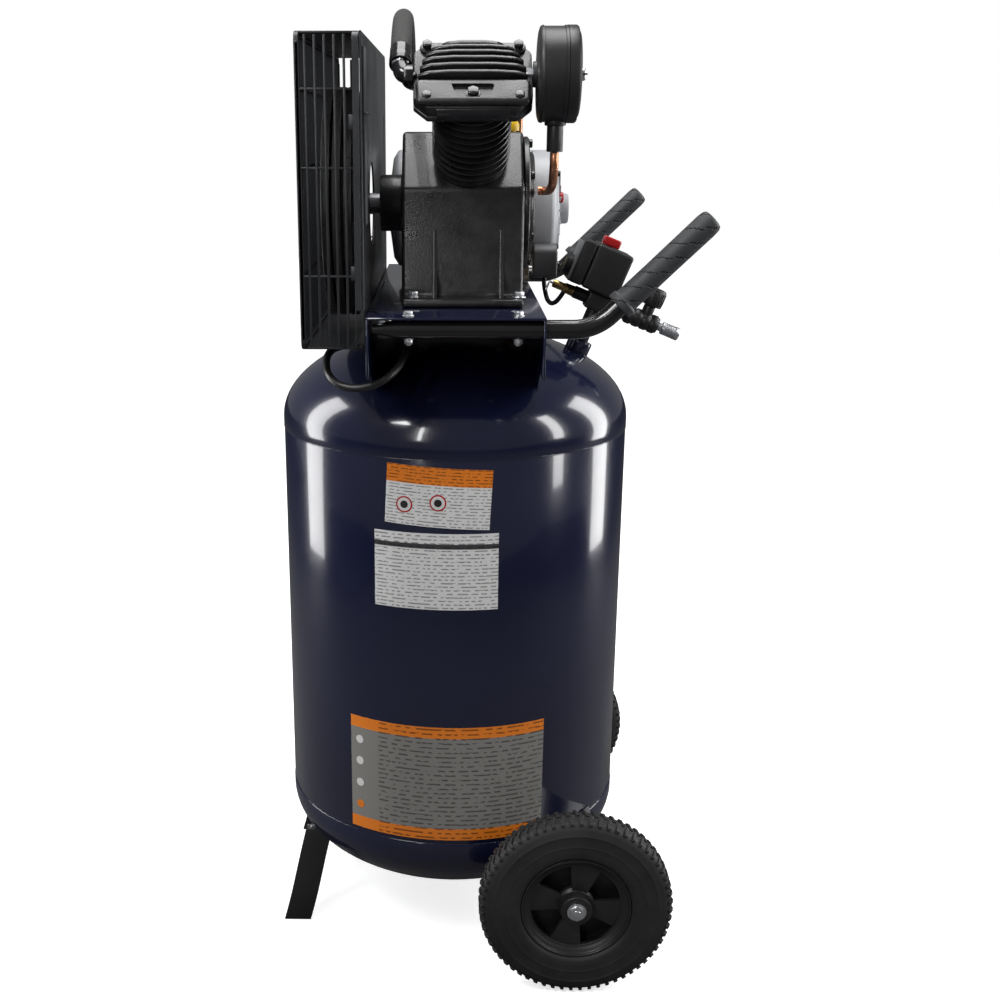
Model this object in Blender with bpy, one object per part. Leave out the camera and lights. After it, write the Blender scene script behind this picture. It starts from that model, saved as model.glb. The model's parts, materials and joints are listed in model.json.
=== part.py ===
"""Portable belt-driven air compressor on a vertical tank.

Frame: +Z up, +X from the tank towards the handles' grips, +Y to the far side, in metres.
The origin is on the floor under the middle of the object's box.
"""
import math

import bmesh
import bpy
from mathutils import Matrix, Vector

# Tank
TANK_R = 0.2336
WALL = 0.003
SHELL_BOTTOM = 0.1820
SHELL_TOP = 0.7070
HEAD_R = 0.2342
HEAD_DEPTH = 0.117
UPPER_EQUATOR = 0.720
LOWER_EQUATOR = 0.172
GAP = 0.0003

# Wheels
WHEEL_R = 0.127
AXLE_X = 0.160
WHEEL_Y = 0.2786
BEAD_R = 0.0716
HUB_R = 0.0215
AXLE_BOLT_R = 0.006

# Saddle and handles
SADDLE_X = (-0.103, 0.101)
SADDLE_Y = 0.310
SADDLE_TOP = 0.8905
SHEET = 0.0035
HANDLE_Y = 0.295
HANDLE_Z = 0.8757
HANDLE_R = 0.0111
HANDLE_TILT = math.radians(44.1)
GRIP_START = (0.182, 0.9007)
GRIP_LENGTH = 0.1405
GRIP_R = 0.0143
HANDLE_BOLTS_X = (-0.055, 0.070)

# Pump
PUMP_Y = -0.115
CRANK_Z = 1.005
CRANK_THROW = 0.014
DECK_U = 0.074
HEAD_U = 0.1838
HEAD_TOP_U = 0.219
BORE_R = 0.0265
CYLINDER_X = {"near": 0.016, "far": 0.0265}
ROD_LENGTH = 0.120
CRANK_R = 0.012

# Belt drive and motor
FLYWHEEL_R = 0.136
BELT_X = -0.138
MOTOR_Y = 0.125
MOTOR_Z = 0.985
MOTOR_R = 0.0795
PULLEY_R = 0.036
GUARD_X = (-0.177, -0.1068)
GUARD_Y = (-0.300, 0.272)
GUARD_Z = (0.8514, 1.1935)

# Control group, in a frame tilted with the dome
CONTROL_AT = (0.191, 0.0, 0.871)
CONTROL_TILT = math.radians(22.0)

MATERIALS = {
    "tank_paint": ((0.016, 0.018, 0.035), 0.25, 0.0),
    "black_paint": ((0.015, 0.015, 0.017), 0.35, 0.0),
    "cast_iron": ((0.018, 0.018, 0.019), 0.45, 0.3),
    "machined_iron": ((0.30, 0.30, 0.31), 0.40, 1.0),
    "piston_alloy": ((0.70, 0.70, 0.72), 0.35, 1.0),
    "zinc_steel": ((0.62, 0.62, 0.63), 0.30, 1.0),
    "brass": ((0.70, 0.50, 0.20), 0.30, 1.0),
    "copper": ((0.72, 0.34, 0.16), 0.28, 1.0),
    "motor_grey": ((0.52, 0.52, 0.54), 0.45, 0.0),
    "tyre_rubber": ((0.035, 0.035, 0.036), 0.75, 0.0),
    "grip_rubber": ((0.045, 0.045, 0.047), 0.70, 0.0),
    "black_plastic": ((0.020, 0.020, 0.022), 0.50, 0.0),
    "cable_jacket": ((0.018, 0.018, 0.018), 0.55, 0.0),
    "hose_braid": ((0.050, 0.050, 0.055), 0.60, 0.0),
    "red_plastic": ((0.55, 0.03, 0.02), 0.40, 0.0),
    "yellow_plastic": ((0.80, 0.62, 0.05), 0.45, 0.0),
}


def reset_scene():
    for obj in list(bpy.data.objects):
        bpy.data.objects.remove(obj, do_unlink=True)


def material(name):
    if name in bpy.data.materials:
        return bpy.data.materials[name]
    color, roughness, metallic = MATERIALS[name]
    mat = bpy.data.materials.new(name)
    mat.use_nodes = True
    shader = mat.node_tree.nodes["Principled BSDF"]
    shader.inputs["Base Color"].default_value = (*color, 1.0)
    shader.inputs["Roughness"].default_value = roughness
    shader.inputs["Metallic"].default_value = metallic
    return mat


def finish(name, bm, slot):
    """Turn a bmesh into a named object with its material and outward faces."""
    bmesh.ops.recalc_face_normals(bm, faces=bm.faces)
    mesh = bpy.data.meshes.new(name)
    bm.to_mesh(mesh)
    bm.free()
    mesh.shade_smooth()
    mesh.set_sharp_from_angle(angle=math.radians(35))
    obj = bpy.data.objects.new(name, mesh)
    obj.data.materials.append(material(slot))
    bpy.context.collection.objects.link(obj)
    return obj


def along(point, direction, roll=0.0):
    """A frame at a point whose local Z runs along a direction."""
    turn = Vector(direction).to_track_quat("Z", "Y").to_matrix().to_4x4()
    return Matrix.Translation(point) @ turn @ Matrix.Rotation(roll, 4, "Z")


def along_x(x, y, z, roll=0.0):
    return along((x, y, z), (1, 0, 0), roll)


def along_y(x, y, z, roll=0.0):
    return along((x, y, z), (0, 1, 0), roll)


def add_turned(bm, profile, frame, segments=24, close=True):
    """A closed outline of (radius, height) points turned about a frame's Z."""
    rings = []
    for radius, height in profile:
        if radius < 1e-7:
            rings.append([bm.verts.new(frame @ Vector((0, 0, height)))])
            continue
        ring = []
        for step in range(segments):
            turn = 2 * math.pi * step / segments
            spot = Vector((radius * math.cos(turn), radius * math.sin(turn), height))
            ring.append(bm.verts.new(frame @ spot))
        rings.append(ring)
    count = len(rings) if close else len(rings) - 1
    for index in range(count):
        first = rings[index]
        second = rings[(index + 1) % len(rings)]
        if len(first) == 1 and len(second) == 1:
            continue
        for step in range(segments):
            after = (step + 1) % segments
            if len(first) == 1:
                bm.faces.new((first[0], second[after], second[step]))
            elif len(second) == 1:
                bm.faces.new((first[step], first[after], second[0]))
            else:
                bm.faces.new((first[step], first[after], second[after], second[step]))


def add_rod(bm, radius, start, end, frame, segments=16):
    profile = [(0, start), (radius, start), (radius, end), (0, end)]
    add_turned(bm, profile, frame, segments)


def add_ring(bm, inner, outer, start, end, frame, segments=16):
    profile = [(inner, start), (outer, start), (outer, end), (inner, end)]
    add_turned(bm, profile, frame, segments)


def add_prism(bm, outline, start, end, frame):
    """An outline of local (x, y) points pushed from start to end along local Z."""
    low = [bm.verts.new(frame @ Vector((x, y, start))) for x, y in outline]
    high = [bm.verts.new(frame @ Vector((x, y, end))) for x, y in outline]
    bm.faces.new(low[::-1])
    bm.faces.new(high)
    for index in range(len(outline)):
        after = (index + 1) % len(outline)
        bm.faces.new((low[index], low[after], high[after], high[index]))


def add_box(bm, low, high, frame=Matrix.Identity(4)):
    outline = [(low[0], low[1]), (high[0], low[1]), (high[0], high[1]), (low[0], high[1])]
    add_prism(bm, outline, low[2], high[2], frame)


def chamfered(low, high, corner):
    """A rectangle's outline with cut corners."""
    (x0, y0), (x1, y1) = low, high
    return [(x0 + corner, y0), (x1 - corner, y0), (x1, y0 + corner), (x1, y1 - corner),
            (x1 - corner, y1), (x0 + corner, y1), (x0, y1 - corner), (x0, y0 + corner)]


def smooth_path(points, steps):
    """Points on a Catmull-Rom curve through the given points."""
    spots = [Vector(p) for p in points]
    spots = [2 * spots[0] - spots[1]] + spots + [2 * spots[-1] - spots[-2]]
    path = []
    for index in range(1, len(spots) - 2):
        p0, p1, p2, p3 = spots[index - 1:index + 3]
        for step in range(steps):
            t = step / steps
            path.append(0.5 * (2 * p1 + (p2 - p0) * t + (2 * p0 - 5 * p1 + 4 * p2 - p3) * t ** 2
                               + (3 * p1 - p0 - 3 * p2 + p3) * t ** 3))
    path.append(spots[-2])
    return path


def path_rings(bm, path, radius, segments):
    """Rings of points carried along a path without twist."""
    tangents = []
    for index in range(len(path)):
        ahead = path[min(index + 1, len(path) - 1)]
        behind = path[max(index - 1, 0)]
        tangents.append((ahead - behind).normalized())
    side = tangents[0].orthogonal().normalized()
    rings = []
    for spot, tangent in zip(path, tangents):
        side = (side - side.dot(tangent) * tangent).normalized()
        other = tangent.cross(side)
        ring = []
        for step in range(segments):
            turn = 2 * math.pi * step / segments
            offset = math.cos(turn) * side + math.sin(turn) * other
            ring.append(bm.verts.new(spot + radius * offset))
        rings.append(ring)
    return rings


def bridge(bm, first, second):
    count = len(first)
    for step in range(count):
        after = (step + 1) % count
        bm.faces.new((first[step], first[after], second[after], second[step]))


def add_tube(bm, path, radius, segments=12, bore=0.0):
    """A round bar along a path, or a hollow tube with open ends if it has a bore."""
    outer = path_rings(bm, path, radius, segments)
    for first, second in zip(outer, outer[1:]):
        bridge(bm, first, second)
    if bore == 0.0:
        bm.faces.new(outer[0][::-1])
        bm.faces.new(outer[-1])
        return
    inner = path_rings(bm, path, bore, segments)
    for first, second in zip(inner, inner[1:]):
        bridge(bm, second, first)
    bridge(bm, inner[0], outer[0])
    bridge(bm, outer[-1], inner[-1])


def combine(target, tool_bm, operation):
    """Apply a Boolean of a bmesh tool to an object."""
    tool = finish("tool", tool_bm, "black_paint")
    modifier = target.modifiers.new("combine", "BOOLEAN")
    modifier.operation = operation
    modifier.solver = "EXACT"
    modifier.object = tool
    with bpy.context.temp_override(object=target, active_object=target):
        bpy.ops.object.modifier_apply(modifier=modifier.name)
    bpy.data.objects.remove(tool, do_unlink=True)
    target.data.materials.clear()


def cut(target, tool_bm, slot):
    combine(target, tool_bm, "DIFFERENCE")
    target.data.materials.append(material(slot))


def unite(target, tool_bm, slot):
    combine(target, tool_bm, "UNION")
    target.data.materials.append(material(slot))


def join_into(target, piece, slot):
    """Weld a finished piece into another object and drop the piece."""
    bm = bmesh.new()
    bm.from_mesh(piece.data)
    bpy.data.objects.remove(piece, do_unlink=True)
    unite(target, bm, slot)


def dome(radius, depth, equator, rings, sign):
    """Outline points of an ellipsoidal head, from its equator to its pole."""
    points = []
    for step in range(rings + 1):
        turn = 0.5 * math.pi * step / rings
        reach = radius * math.cos(turn) if step < rings else 0.0
        points.append((reach, equator + sign * depth * math.sin(turn)))
    return points


def head_outline(equator, rim, sign):
    outer = [(HEAD_R, rim)] + dome(HEAD_R, HEAD_DEPTH, equator, 5, sign)
    inner = [(HEAD_R - WALL, rim)]
    inner += dome(HEAD_R - WALL, HEAD_DEPTH - WALL, equator, 5, sign)
    return outer + inner[::-1]


def add_tank_guide(bm, swell=2 * GAP):
    """The tank's outer shape a little swollen, for trimming what is welded to it."""
    radius = HEAD_R + swell
    depth = HEAD_DEPTH + swell
    bottom = dome(radius, depth, LOWER_EQUATOR, 5, -1)[::-1]
    top = dome(radius, depth, UPPER_EQUATOR, 5, 1)
    add_turned(bm, bottom + top, Matrix.Identity(4), 36, close=False)


def make_tank():
    bm = bmesh.new()
    outline = [(TANK_R - WALL, SHELL_BOTTOM), (TANK_R, SHELL_BOTTOM),
               (TANK_R, SHELL_TOP), (TANK_R - WALL, SHELL_TOP)]
    add_turned(bm, outline, Matrix.Identity(4), 36)
    finish("tank_shell", bm, "tank_paint")

    bm = bmesh.new()
    add_turned(bm, head_outline(UPPER_EQUATOR, SHELL_TOP + GAP, 1), Matrix.Identity(4), 36)
    head = finish("upper_head", bm, "tank_paint")
    bung = bmesh.new()
    add_rod(bung, 0.017, -0.0735, -0.0560, control_frame(), 6)
    unite(head, bung, "tank_paint")

    bm = bmesh.new()
    add_turned(bm, head_outline(LOWER_EQUATOR, SHELL_BOTTOM - GAP, -1), Matrix.Identity(4), 36)
    finish("lower_head", bm, "tank_paint")


def add_foot(bm, side):
    """One splayed strap foot: a bent bar, wide across X, from the lower head to the floor."""
    half = 0.0192
    thick = 0.005
    stations = [(-0.186, -0.088, 0.165), (-0.2104, -0.126, 0.0465), (-0.2225, -0.132, 0.0)]
    rows = []
    for x, y, z in stations:
        row = []
        for dx, dy in ((-half, 0), (half, 0), (half, thick), (-half, thick)):
            row.append(bm.verts.new((x + dx, side * -(y + dy), z)))
        rows.append(row)
    bm.faces.new(rows[0])
    bm.faces.new(rows[-1][::-1])
    for first, second in zip(rows, rows[1:]):
        bridge(bm, first, second)


def make_feet():
    for label, side in (("near", -1), ("far", 1)):
        bm = bmesh.new()
        add_foot(bm, side)
        foot = finish("front_foot_" + label, bm, "black_paint")
        guide = bmesh.new()
        add_tank_guide(guide)
        cut(foot, guide, "black_paint")


def make_axle_bracket(label, side):
    """A welded channel that stands out from the tank and holds one stub axle."""
    bm = bmesh.new()
    y0, y1 = sorted((side * 0.130, side * 0.243))
    add_box(bm, (0.130, y0, 0.098), (0.190, y1, 0.190))
    bracket = finish("axle_bracket_" + label, bm, "black_paint")
    tool = bmesh.new()
    y0, y1 = sorted((side * 0.050, side * 0.239))
    add_box(tool, (0.134, y0, 0.080), (0.186, y1, 0.186))
    cut(bracket, tool, "black_paint")
    tool = bmesh.new()
    out = along((AXLE_X, 0, WHEEL_R), (0, side, 0))
    add_rod(tool, AXLE_BOLT_R + GAP, 0.20, 0.30, out, 12)
    cut(bracket, tool, "black_paint")
    guide = bmesh.new()
    add_tank_guide(guide)
    cut(bracket, guide, "black_paint")


def make_axle_bolt(label, side):
    bm = bmesh.new()
    outline = [(0, 0.229), (0.0105, 0.229), (0.0105, 0.2387), (AXLE_BOLT_R, 0.2387),
               (AXLE_BOLT_R, 0.3045), (0.0108, 0.3045), (0.0108, 0.3125), (0, 0.3125)]
    add_turned(bm, outline, along((AXLE_X, 0, WHEEL_R), (0, side, 0)), 12)
    finish("axle_bolt_" + label, bm, "zinc_steel")


def make_wheel(label, side):
    frame = along((AXLE_X, 0, WHEEL_R), (0, side, 0))
    bm = bmesh.new()
    tread = [(BEAD_R, 0.2587), (0.085, 0.2550), (0.112, 0.2557), (0.123, 0.261),
             (WHEEL_R, 0.271), (WHEEL_R, 0.286), (0.123, 0.296), (0.112, 0.3015),
             (0.085, 0.3020), (BEAD_R, 0.2985)]
    add_turned(bm, tread, frame, 24)
    tyre = finish("tyre_" + label, bm, "tyre_rubber")

    bm = bmesh.new()
    bore = AXLE_BOLT_R + GAP
    rim_r = BEAD_R - GAP
    outline = [(rim_r, 0.2587), (rim_r, 0.2985), (0.063, 0.2985), (0.063, 0.292),
               (HUB_R, 0.292), (HUB_R, 0.304), (bore, 0.304), (bore, 0.2436),
               (HUB_R, 0.2436), (HUB_R, 0.282), (0.063, 0.282), (0.063, 0.2587)]
    add_turned(bm, outline, frame, 24)
    rim = finish("rim_" + label, bm, "black_plastic")
    tool = bmesh.new()
    for step in range(4):
        turn = math.radians(45 + 12 * side) + step * math.pi / 2
        wedge = []
        for radius, spread in ((0.026, -0.40), (0.058, -0.52), (0.059, 0.0), (0.058, 0.52),
                               (0.026, 0.40)):
            wedge.append((radius * math.cos(turn + spread), radius * math.sin(turn + spread)))
        add_prism(tool, wedge, 0.270, 0.300, frame)
    cut(rim, tool, "black_plastic")
    shield = bmesh.new()
    add_ring(shield, HUB_R - 0.001, 0.064, 0.2640, 0.2665, frame, 24)
    unite(rim, shield, "black_plastic")
    return tyre, rim


def make_drain_valve():
    bm = bmesh.new()
    outline = [(0, 0.0545), (0.010, 0.0545), (0.010, 0.044), (0.007, 0.044), (0.007, 0.026),
               (0.003, 0.026), (0.003, 0.038), (0, 0.038)]
    add_turned(bm, outline, Matrix.Identity(4), 12)
    finish("drain_valve", bm, "brass")
    bm = bmesh.new()
    outline = [(0, 0.0074), (0.003, 0.0074), (0.003, 0.018), (0, 0.018)]
    add_turned(bm, outline, along_y(0, 0, 0.038), 10)
    key = finish("drain_key", bm, "brass")
    bar = bmesh.new()
    add_box(bar, (-0.011, 0.0175, 0.0355), (0.011, 0.0205, 0.0405))
    unite(key, bar, "brass")
    return key


def make_saddle():
    """A folded channel across the dome: top plate, two flanges and its drillings."""
    x0, x1 = SADDLE_X
    under = SADDLE_TOP - SHEET
    bm = bmesh.new()
    add_box(bm, (x0, -SADDLE_Y, under), (x1, SADDLE_Y, SADDLE_TOP))
    saddle = finish("saddle", bm, "tank_paint")
    flange = [(-SADDLE_Y, 0.888), (-SADDLE_Y, 0.8195), (-0.26, 0.8195), (-0.20, 0.785),
              (0.20, 0.785), (0.26, 0.8195), (SADDLE_Y, 0.8195), (SADDLE_Y, 0.888)]
    frame = Matrix(((0, 0, 1, 0), (1, 0, 0, 0), (0, 1, 0, 0), (0, 0, 0, 1)))
    for start in (x0, x1 - SHEET):
        tool = bmesh.new()
        add_prism(tool, flange, start, start + SHEET, frame)
        unite(saddle, tool, "tank_paint")
    tool = bmesh.new()
    add_tank_guide(tool)
    cut(saddle, tool, "tank_paint")
    tool = bmesh.new()
    for side in (-1, 1):
        add_rod(tool, HANDLE_R + 0.0008, 0.09, 0.11, along_x(0, side * HANDLE_Y, HANDLE_Z), 16)
        for x in HANDLE_BOLTS_X:
            add_rod(tool, 0.0034, 0.88, 0.90, along((x, side * HANDLE_Y, 0), (0, 0, 1)), 8)
    add_rod(tool, 0.0065, 0.88, 0.90, along((0.081, 0.020, 0), (0, 0, 1)), 12)
    cut(saddle, tool, "tank_paint")


def handle_path(y):
    """The handle's centreline: along the saddle, round one bend, then up into the grip."""
    bend = 0.060
    corner_x = GRIP_START[0] - (GRIP_START[1] - HANDLE_Z) / math.tan(HANDLE_TILT)
    tangent = bend * math.tan(HANDLE_TILT / 2)
    path = [Vector((-0.096, y, HANDLE_Z))]
    for step in range(6):
        turn = HANDLE_TILT * step / 5
        x = corner_x - tangent + bend * math.sin(turn)
        z = HANDLE_Z + bend * (1 - math.cos(turn))
        path.append(Vector((x, y, z)))
    rise = GRIP_LENGTH - 0.0065
    tip_x = GRIP_START[0] + rise * math.cos(HANDLE_TILT)
    tip_z = GRIP_START[1] + rise * math.sin(HANDLE_TILT)
    path.append(Vector((tip_x, y, tip_z)))
    return path


def make_handles():
    for label, side in (("near", -1), ("far", 1)):
        y = side * HANDLE_Y
        bm = bmesh.new()
        add_tube(bm, handle_path(y), HANDLE_R, 10, HANDLE_R - 0.002)
        tube = finish("handle_tube_" + label, bm, "black_paint")
        tool = bmesh.new()
        for x in HANDLE_BOLTS_X:
            add_rod(tool, 0.0034, 0.85, 0.90, along((x, y, 0), (0, 0, 1)), 8)
        cut(tube, tool, "black_paint")
        bm = bmesh.new()
        inside = (HANDLE_R + GAP) / math.cos(math.pi / 12)
        end = GRIP_LENGTH
        outline = [(inside, 0), (0.0175, 0), (0.0175, 0.006), (GRIP_R, 0.008),
                   (GRIP_R, end - 0.008), (0.0105, end - 0.001), (0, end),
                   (0, end - 0.005), (inside, end - 0.005)]
        direction = (math.cos(HANDLE_TILT), 0, math.sin(HANDLE_TILT))
        add_turned(bm, outline, along((GRIP_START[0], y, GRIP_START[1]), direction), 12)
        finish("grip_" + label, bm, "grip_rubber")


def cylinder_frame(label, x=None):
    """A frame at the crank axis whose Z runs up a cylinder and whose X is along the crank."""
    side = -1 if label == "near" else 1
    half = math.sqrt(0.5)
    up = Vector((0, side * half, half))
    along_crank = Vector((1, 0, 0))
    third = up.cross(along_crank)
    turn = Matrix((along_crank, third, up)).transposed().to_4x4()
    place = CYLINDER_X[label] if x is None else x
    return Matrix.Translation((place, PUMP_Y, CRANK_Z)) @ turn


def make_crankcase():
    half = math.sqrt(0.5)
    deck = (DECK_U * half, DECK_U * half)
    reach = 0.045 * half
    foot = SADDLE_TOP + GAP
    low = (deck[0] + reach, CRANK_Z + deck[1] - reach)
    high = (deck[0] - reach, CRANK_Z + deck[1] + reach)
    right = [(0.113, foot), (0.113, foot + 0.010), (0.085, foot + 0.010), low, high]
    outline = [(PUMP_Y + y, z) for y, z in right]
    outline += [(PUMP_Y - y, z) for y, z in right[::-1]]
    frame = Matrix(((0, 0, 1, 0), (1, 0, 0, 0), (0, 1, 0, 0), (0, 0, 0, 1)))
    bm = bmesh.new()
    add_prism(bm, outline, -0.066, 0.080, frame)
    case = finish("crankcase", bm, "cast_iron")
    bm = bmesh.new()
    add_rod(bm, 0.034, -0.094, -0.060, along_x(0, PUMP_Y, CRANK_Z), 24)
    unite(case, bm, "cast_iron")
    tool = bmesh.new()
    add_rod(tool, 0.066, -0.056, 0.090, along_x(0, PUMP_Y, CRANK_Z), 28)
    cut(case, tool, "cast_iron")
    for label in ("near", "far"):
        tool = bmesh.new()
        add_rod(tool, 0.029, 0.045, 0.085, cylinder_frame(label), 20)
        cut(case, tool, "cast_iron")
    tool = bmesh.new()
    add_rod(tool, CRANK_R + GAP, -0.10, -0.05, along_x(0, PUMP_Y, CRANK_Z), 20)
    cut(case, tool, "cast_iron")
    tool = bmesh.new()
    add_rod(tool, 0.0062, 1.05, 1.12, along((0.066, PUMP_Y, 0), (0, 0, 1)), 12)
    for x in (-0.0515, 0.0741):
        for y in (-0.212, 2 * PUMP_Y + 0.212):
            add_rod(tool, 0.0045, 0.880, 0.910, along((x, y, 0), (0, 0, 1)), 8)
    cut(case, tool, "cast_iron")

    bm = bmesh.new()
    pocket = CRANK_R + GAP
    outline = [(pocket, 0.0803), (0.079, 0.0803), (0.079, 0.0865), (0.062, 0.0930),
               (0, 0.0940), (0, 0.0880), (pocket, 0.0880)]
    add_turned(bm, outline, along_x(0, PUMP_Y, CRANK_Z), 20)
    finish("bearing_cover", bm, "cast_iron")

    bm = bmesh.new()
    outline = [(0, 1.103), (0.0095, 1.103), (0.0095, 1.0905), (0.0058, 1.0905),
               (0.0058, 1.078), (0.0022, 1.078), (0.0022, 1.030), (0, 1.030)]
    add_turned(bm, outline, along((0.066, PUMP_Y, 0), (0, 0, 1)), 12)
    return finish("oil_cap", bm, "yellow_plastic")


def make_cylinders():
    for label in ("near", "far"):
        frame = cylinder_frame(label)
        outline = [(BORE_R, DECK_U + GAP), (0.044, DECK_U + GAP), (0.044, DECK_U + 0.009)]
        fins = 3
        start = DECK_U + 0.009
        pitch = (HEAD_U - GAP - start) / fins
        for index in range(fins):
            low = start + index * pitch
            outline += [(0.038, low + 0.001), (0.038, low + 0.6 * pitch)]
            outline += [(0.0455, low + 0.6 * pitch), (0.0455, low + pitch)]
        outline.append((BORE_R, HEAD_U - GAP))
        bm = bmesh.new()
        add_turned(bm, outline, frame, 16)
        finish("cylinder_" + label, bm, "cast_iron")

        bm = bmesh.new()
        plate = HEAD_U + 0.022
        add_prism(bm, chamfered((-0.0655, -0.050), (0.0655, 0.050), 0.016), HEAD_U, plate, frame)
        head = finish("head_" + label, bm, "cast_iron")
        for index in range(5):
            rib = bmesh.new()
            middle = -0.034 + index * 0.017
            half = 0.040 if index in (0, 4) else 0.052
            add_box(rib, (-half, middle - 0.004, plate - 0.002),
                    (half, middle + 0.004, HEAD_TOP_U), frame)
            unite(head, rib, "cast_iron")


def make_crank_train():
    """Crankshaft with its pin straight up, two rods beside each other on it, two pistons."""
    frame = along_x(0, PUMP_Y, CRANK_Z)
    bm = bmesh.new()
    outline = [(0, -0.1640), (CRANK_R, -0.1640), (CRANK_R, -0.0070), (0.030, -0.0070),
               (0.030, 0.0050), (0, 0.0050)]
    add_turned(bm, outline, frame, 20)
    outline = [(0, 0.0385), (0.030, 0.0385), (0.030, 0.0500), (CRANK_R, 0.0500),
               (CRANK_R, 0.0870), (0, 0.0870)]
    add_turned(bm, outline, frame, 20)
    shaft = finish("crankshaft", bm, "machined_iron")
    tool = bmesh.new()
    add_rod(tool, 0.010, 0.003, 0.041, along_x(0, PUMP_Y, CRANK_Z + CRANK_THROW), 16)
    unite(shaft, tool, "machined_iron")

    moving = {"crankshaft": shaft}
    offset = CRANK_THROW * math.sqrt(0.5)
    for label in ("near", "far"):
        pin = cylinder_frame(label)
        spot = pin.inverted() @ Vector((CYLINDER_X[label], PUMP_Y, CRANK_Z + CRANK_THROW))
        rod_frame = pin @ Matrix.Translation(spot)
        across = rod_frame @ Matrix.Rotation(math.pi / 2, 4, "Y")
        bm = bmesh.new()
        add_ring(bm, 0.01045, 0.0165, -0.0045, 0.0045, across, 20)
        rod = finish("rod_" + label, bm, "piston_alloy")
        tool = bmesh.new()
        add_box(tool, (-0.003, -0.0045, 0.013), (0.003, 0.0045, ROD_LENGTH - 0.004), rod_frame)
        unite(rod, tool, "piston_alloy")
        tool = bmesh.new()
        small = across @ Matrix.Translation((-ROD_LENGTH, 0, 0))
        add_rod(tool, 0.0075, -0.0042, 0.0042, small, 16)
        unite(rod, tool, "piston_alloy")
        moving["rod_" + label] = rod

        crown = offset + ROD_LENGTH + 0.0075 + 0.0245
        outline = [(0, crown + 0.005), (BORE_R - GAP, crown + 0.005),
                   (BORE_R - GAP, crown - 0.030), (0.0235, crown - 0.030),
                   (0.0235, crown), (0, crown)]
        bm = bmesh.new()
        add_turned(bm, outline, pin, 16)
        moving["piston_" + label] = finish("piston_" + label, bm, "piston_alloy")
    return moving


def make_belt_drive():
    bm = bmesh.new()
    bore = CRANK_R + GAP
    left = BELT_X - 0.018
    right = BELT_X + 0.018
    outline = [(bore, left - 0.002), (0.023, left - 0.002), (0.023, BELT_X - 0.004),
               (0.121, BELT_X - 0.004), (0.121, left), (FLYWHEEL_R, left),
               (FLYWHEEL_R, BELT_X - 0.0065), (0.128, BELT_X - 0.0065),
               (0.128, BELT_X + 0.0065), (FLYWHEEL_R, BELT_X + 0.0065), (FLYWHEEL_R, right),
               (0.121, right), (0.121, BELT_X + 0.004), (0.023, BELT_X + 0.004),
               (0.023, right), (bore, right)]
    add_turned(bm, outline, along_x(0, PUMP_Y, CRANK_Z), 24)
    flywheel = finish("flywheel", bm, "cast_iron")
    tool = bmesh.new()
    for step in range(5):
        turn = 2 * math.pi * step / 5
        y = PUMP_Y + 0.072 * math.cos(turn)
        z = CRANK_Z + 0.072 * math.sin(turn)
        add_rod(tool, 0.032, left, right, along_x(0, y, z), 8)
    cut(flywheel, tool, "cast_iron")

    bm = bmesh.new()
    bore = 0.0083
    outline = [(bore, BELT_X - 0.012), (PULLEY_R, BELT_X - 0.012),
               (PULLEY_R, BELT_X - 0.0065), (0.030, BELT_X - 0.0065),
               (0.030, BELT_X + 0.0065), (PULLEY_R, BELT_X + 0.0065),
               (PULLEY_R, BELT_X + 0.012), (bore, BELT_X + 0.012)]
    add_turned(bm, outline, along_x(0, MOTOR_Y, MOTOR_Z), 18)
    pulley = finish("motor_pulley", bm, "machined_iron")

    bm = bmesh.new()
    add_belt(bm, 0.1290, 0.0308, 0.0070, 0.005)
    finish("drive_belt", bm, "tyre_rubber")
    return flywheel, pulley


def add_belt(bm, big, small, depth, half_width):
    """A closed belt round the flywheel and the pulley, with straight runs between."""
    span_y = MOTOR_Y - PUMP_Y
    span_z = MOTOR_Z - CRANK_Z
    slope = math.atan2(span_z, span_y)
    lean = math.acos((big - small) / math.hypot(span_y, span_z))
    inner = []
    outer = []
    for index in range(25):
        turn = slope + lean + (2 * math.pi - 2 * lean) * index / 24
        for rings, radius in ((inner, big), (outer, big + depth)):
            rings.append((PUMP_Y + radius * math.cos(turn), CRANK_Z + radius * math.sin(turn)))
    for index in range(13):
        turn = slope - lean + 2 * lean * index / 12
        for rings, radius in ((inner, small), (outer, small + depth)):
            rings.append((MOTOR_Y + radius * math.cos(turn), MOTOR_Z + radius * math.sin(turn)))
    rows = []
    for (y0, z0), (y1, z1) in zip(inner, outer):
        row = [(BELT_X - half_width, y0, z0), (BELT_X + half_width, y0, z0),
               (BELT_X + half_width, y1, z1), (BELT_X - half_width, y1, z1)]
        rows.append([bm.verts.new(spot) for spot in row])
    for index in range(len(rows)):
        bridge(bm, rows[index], rows[(index + 1) % len(rows)])


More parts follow.
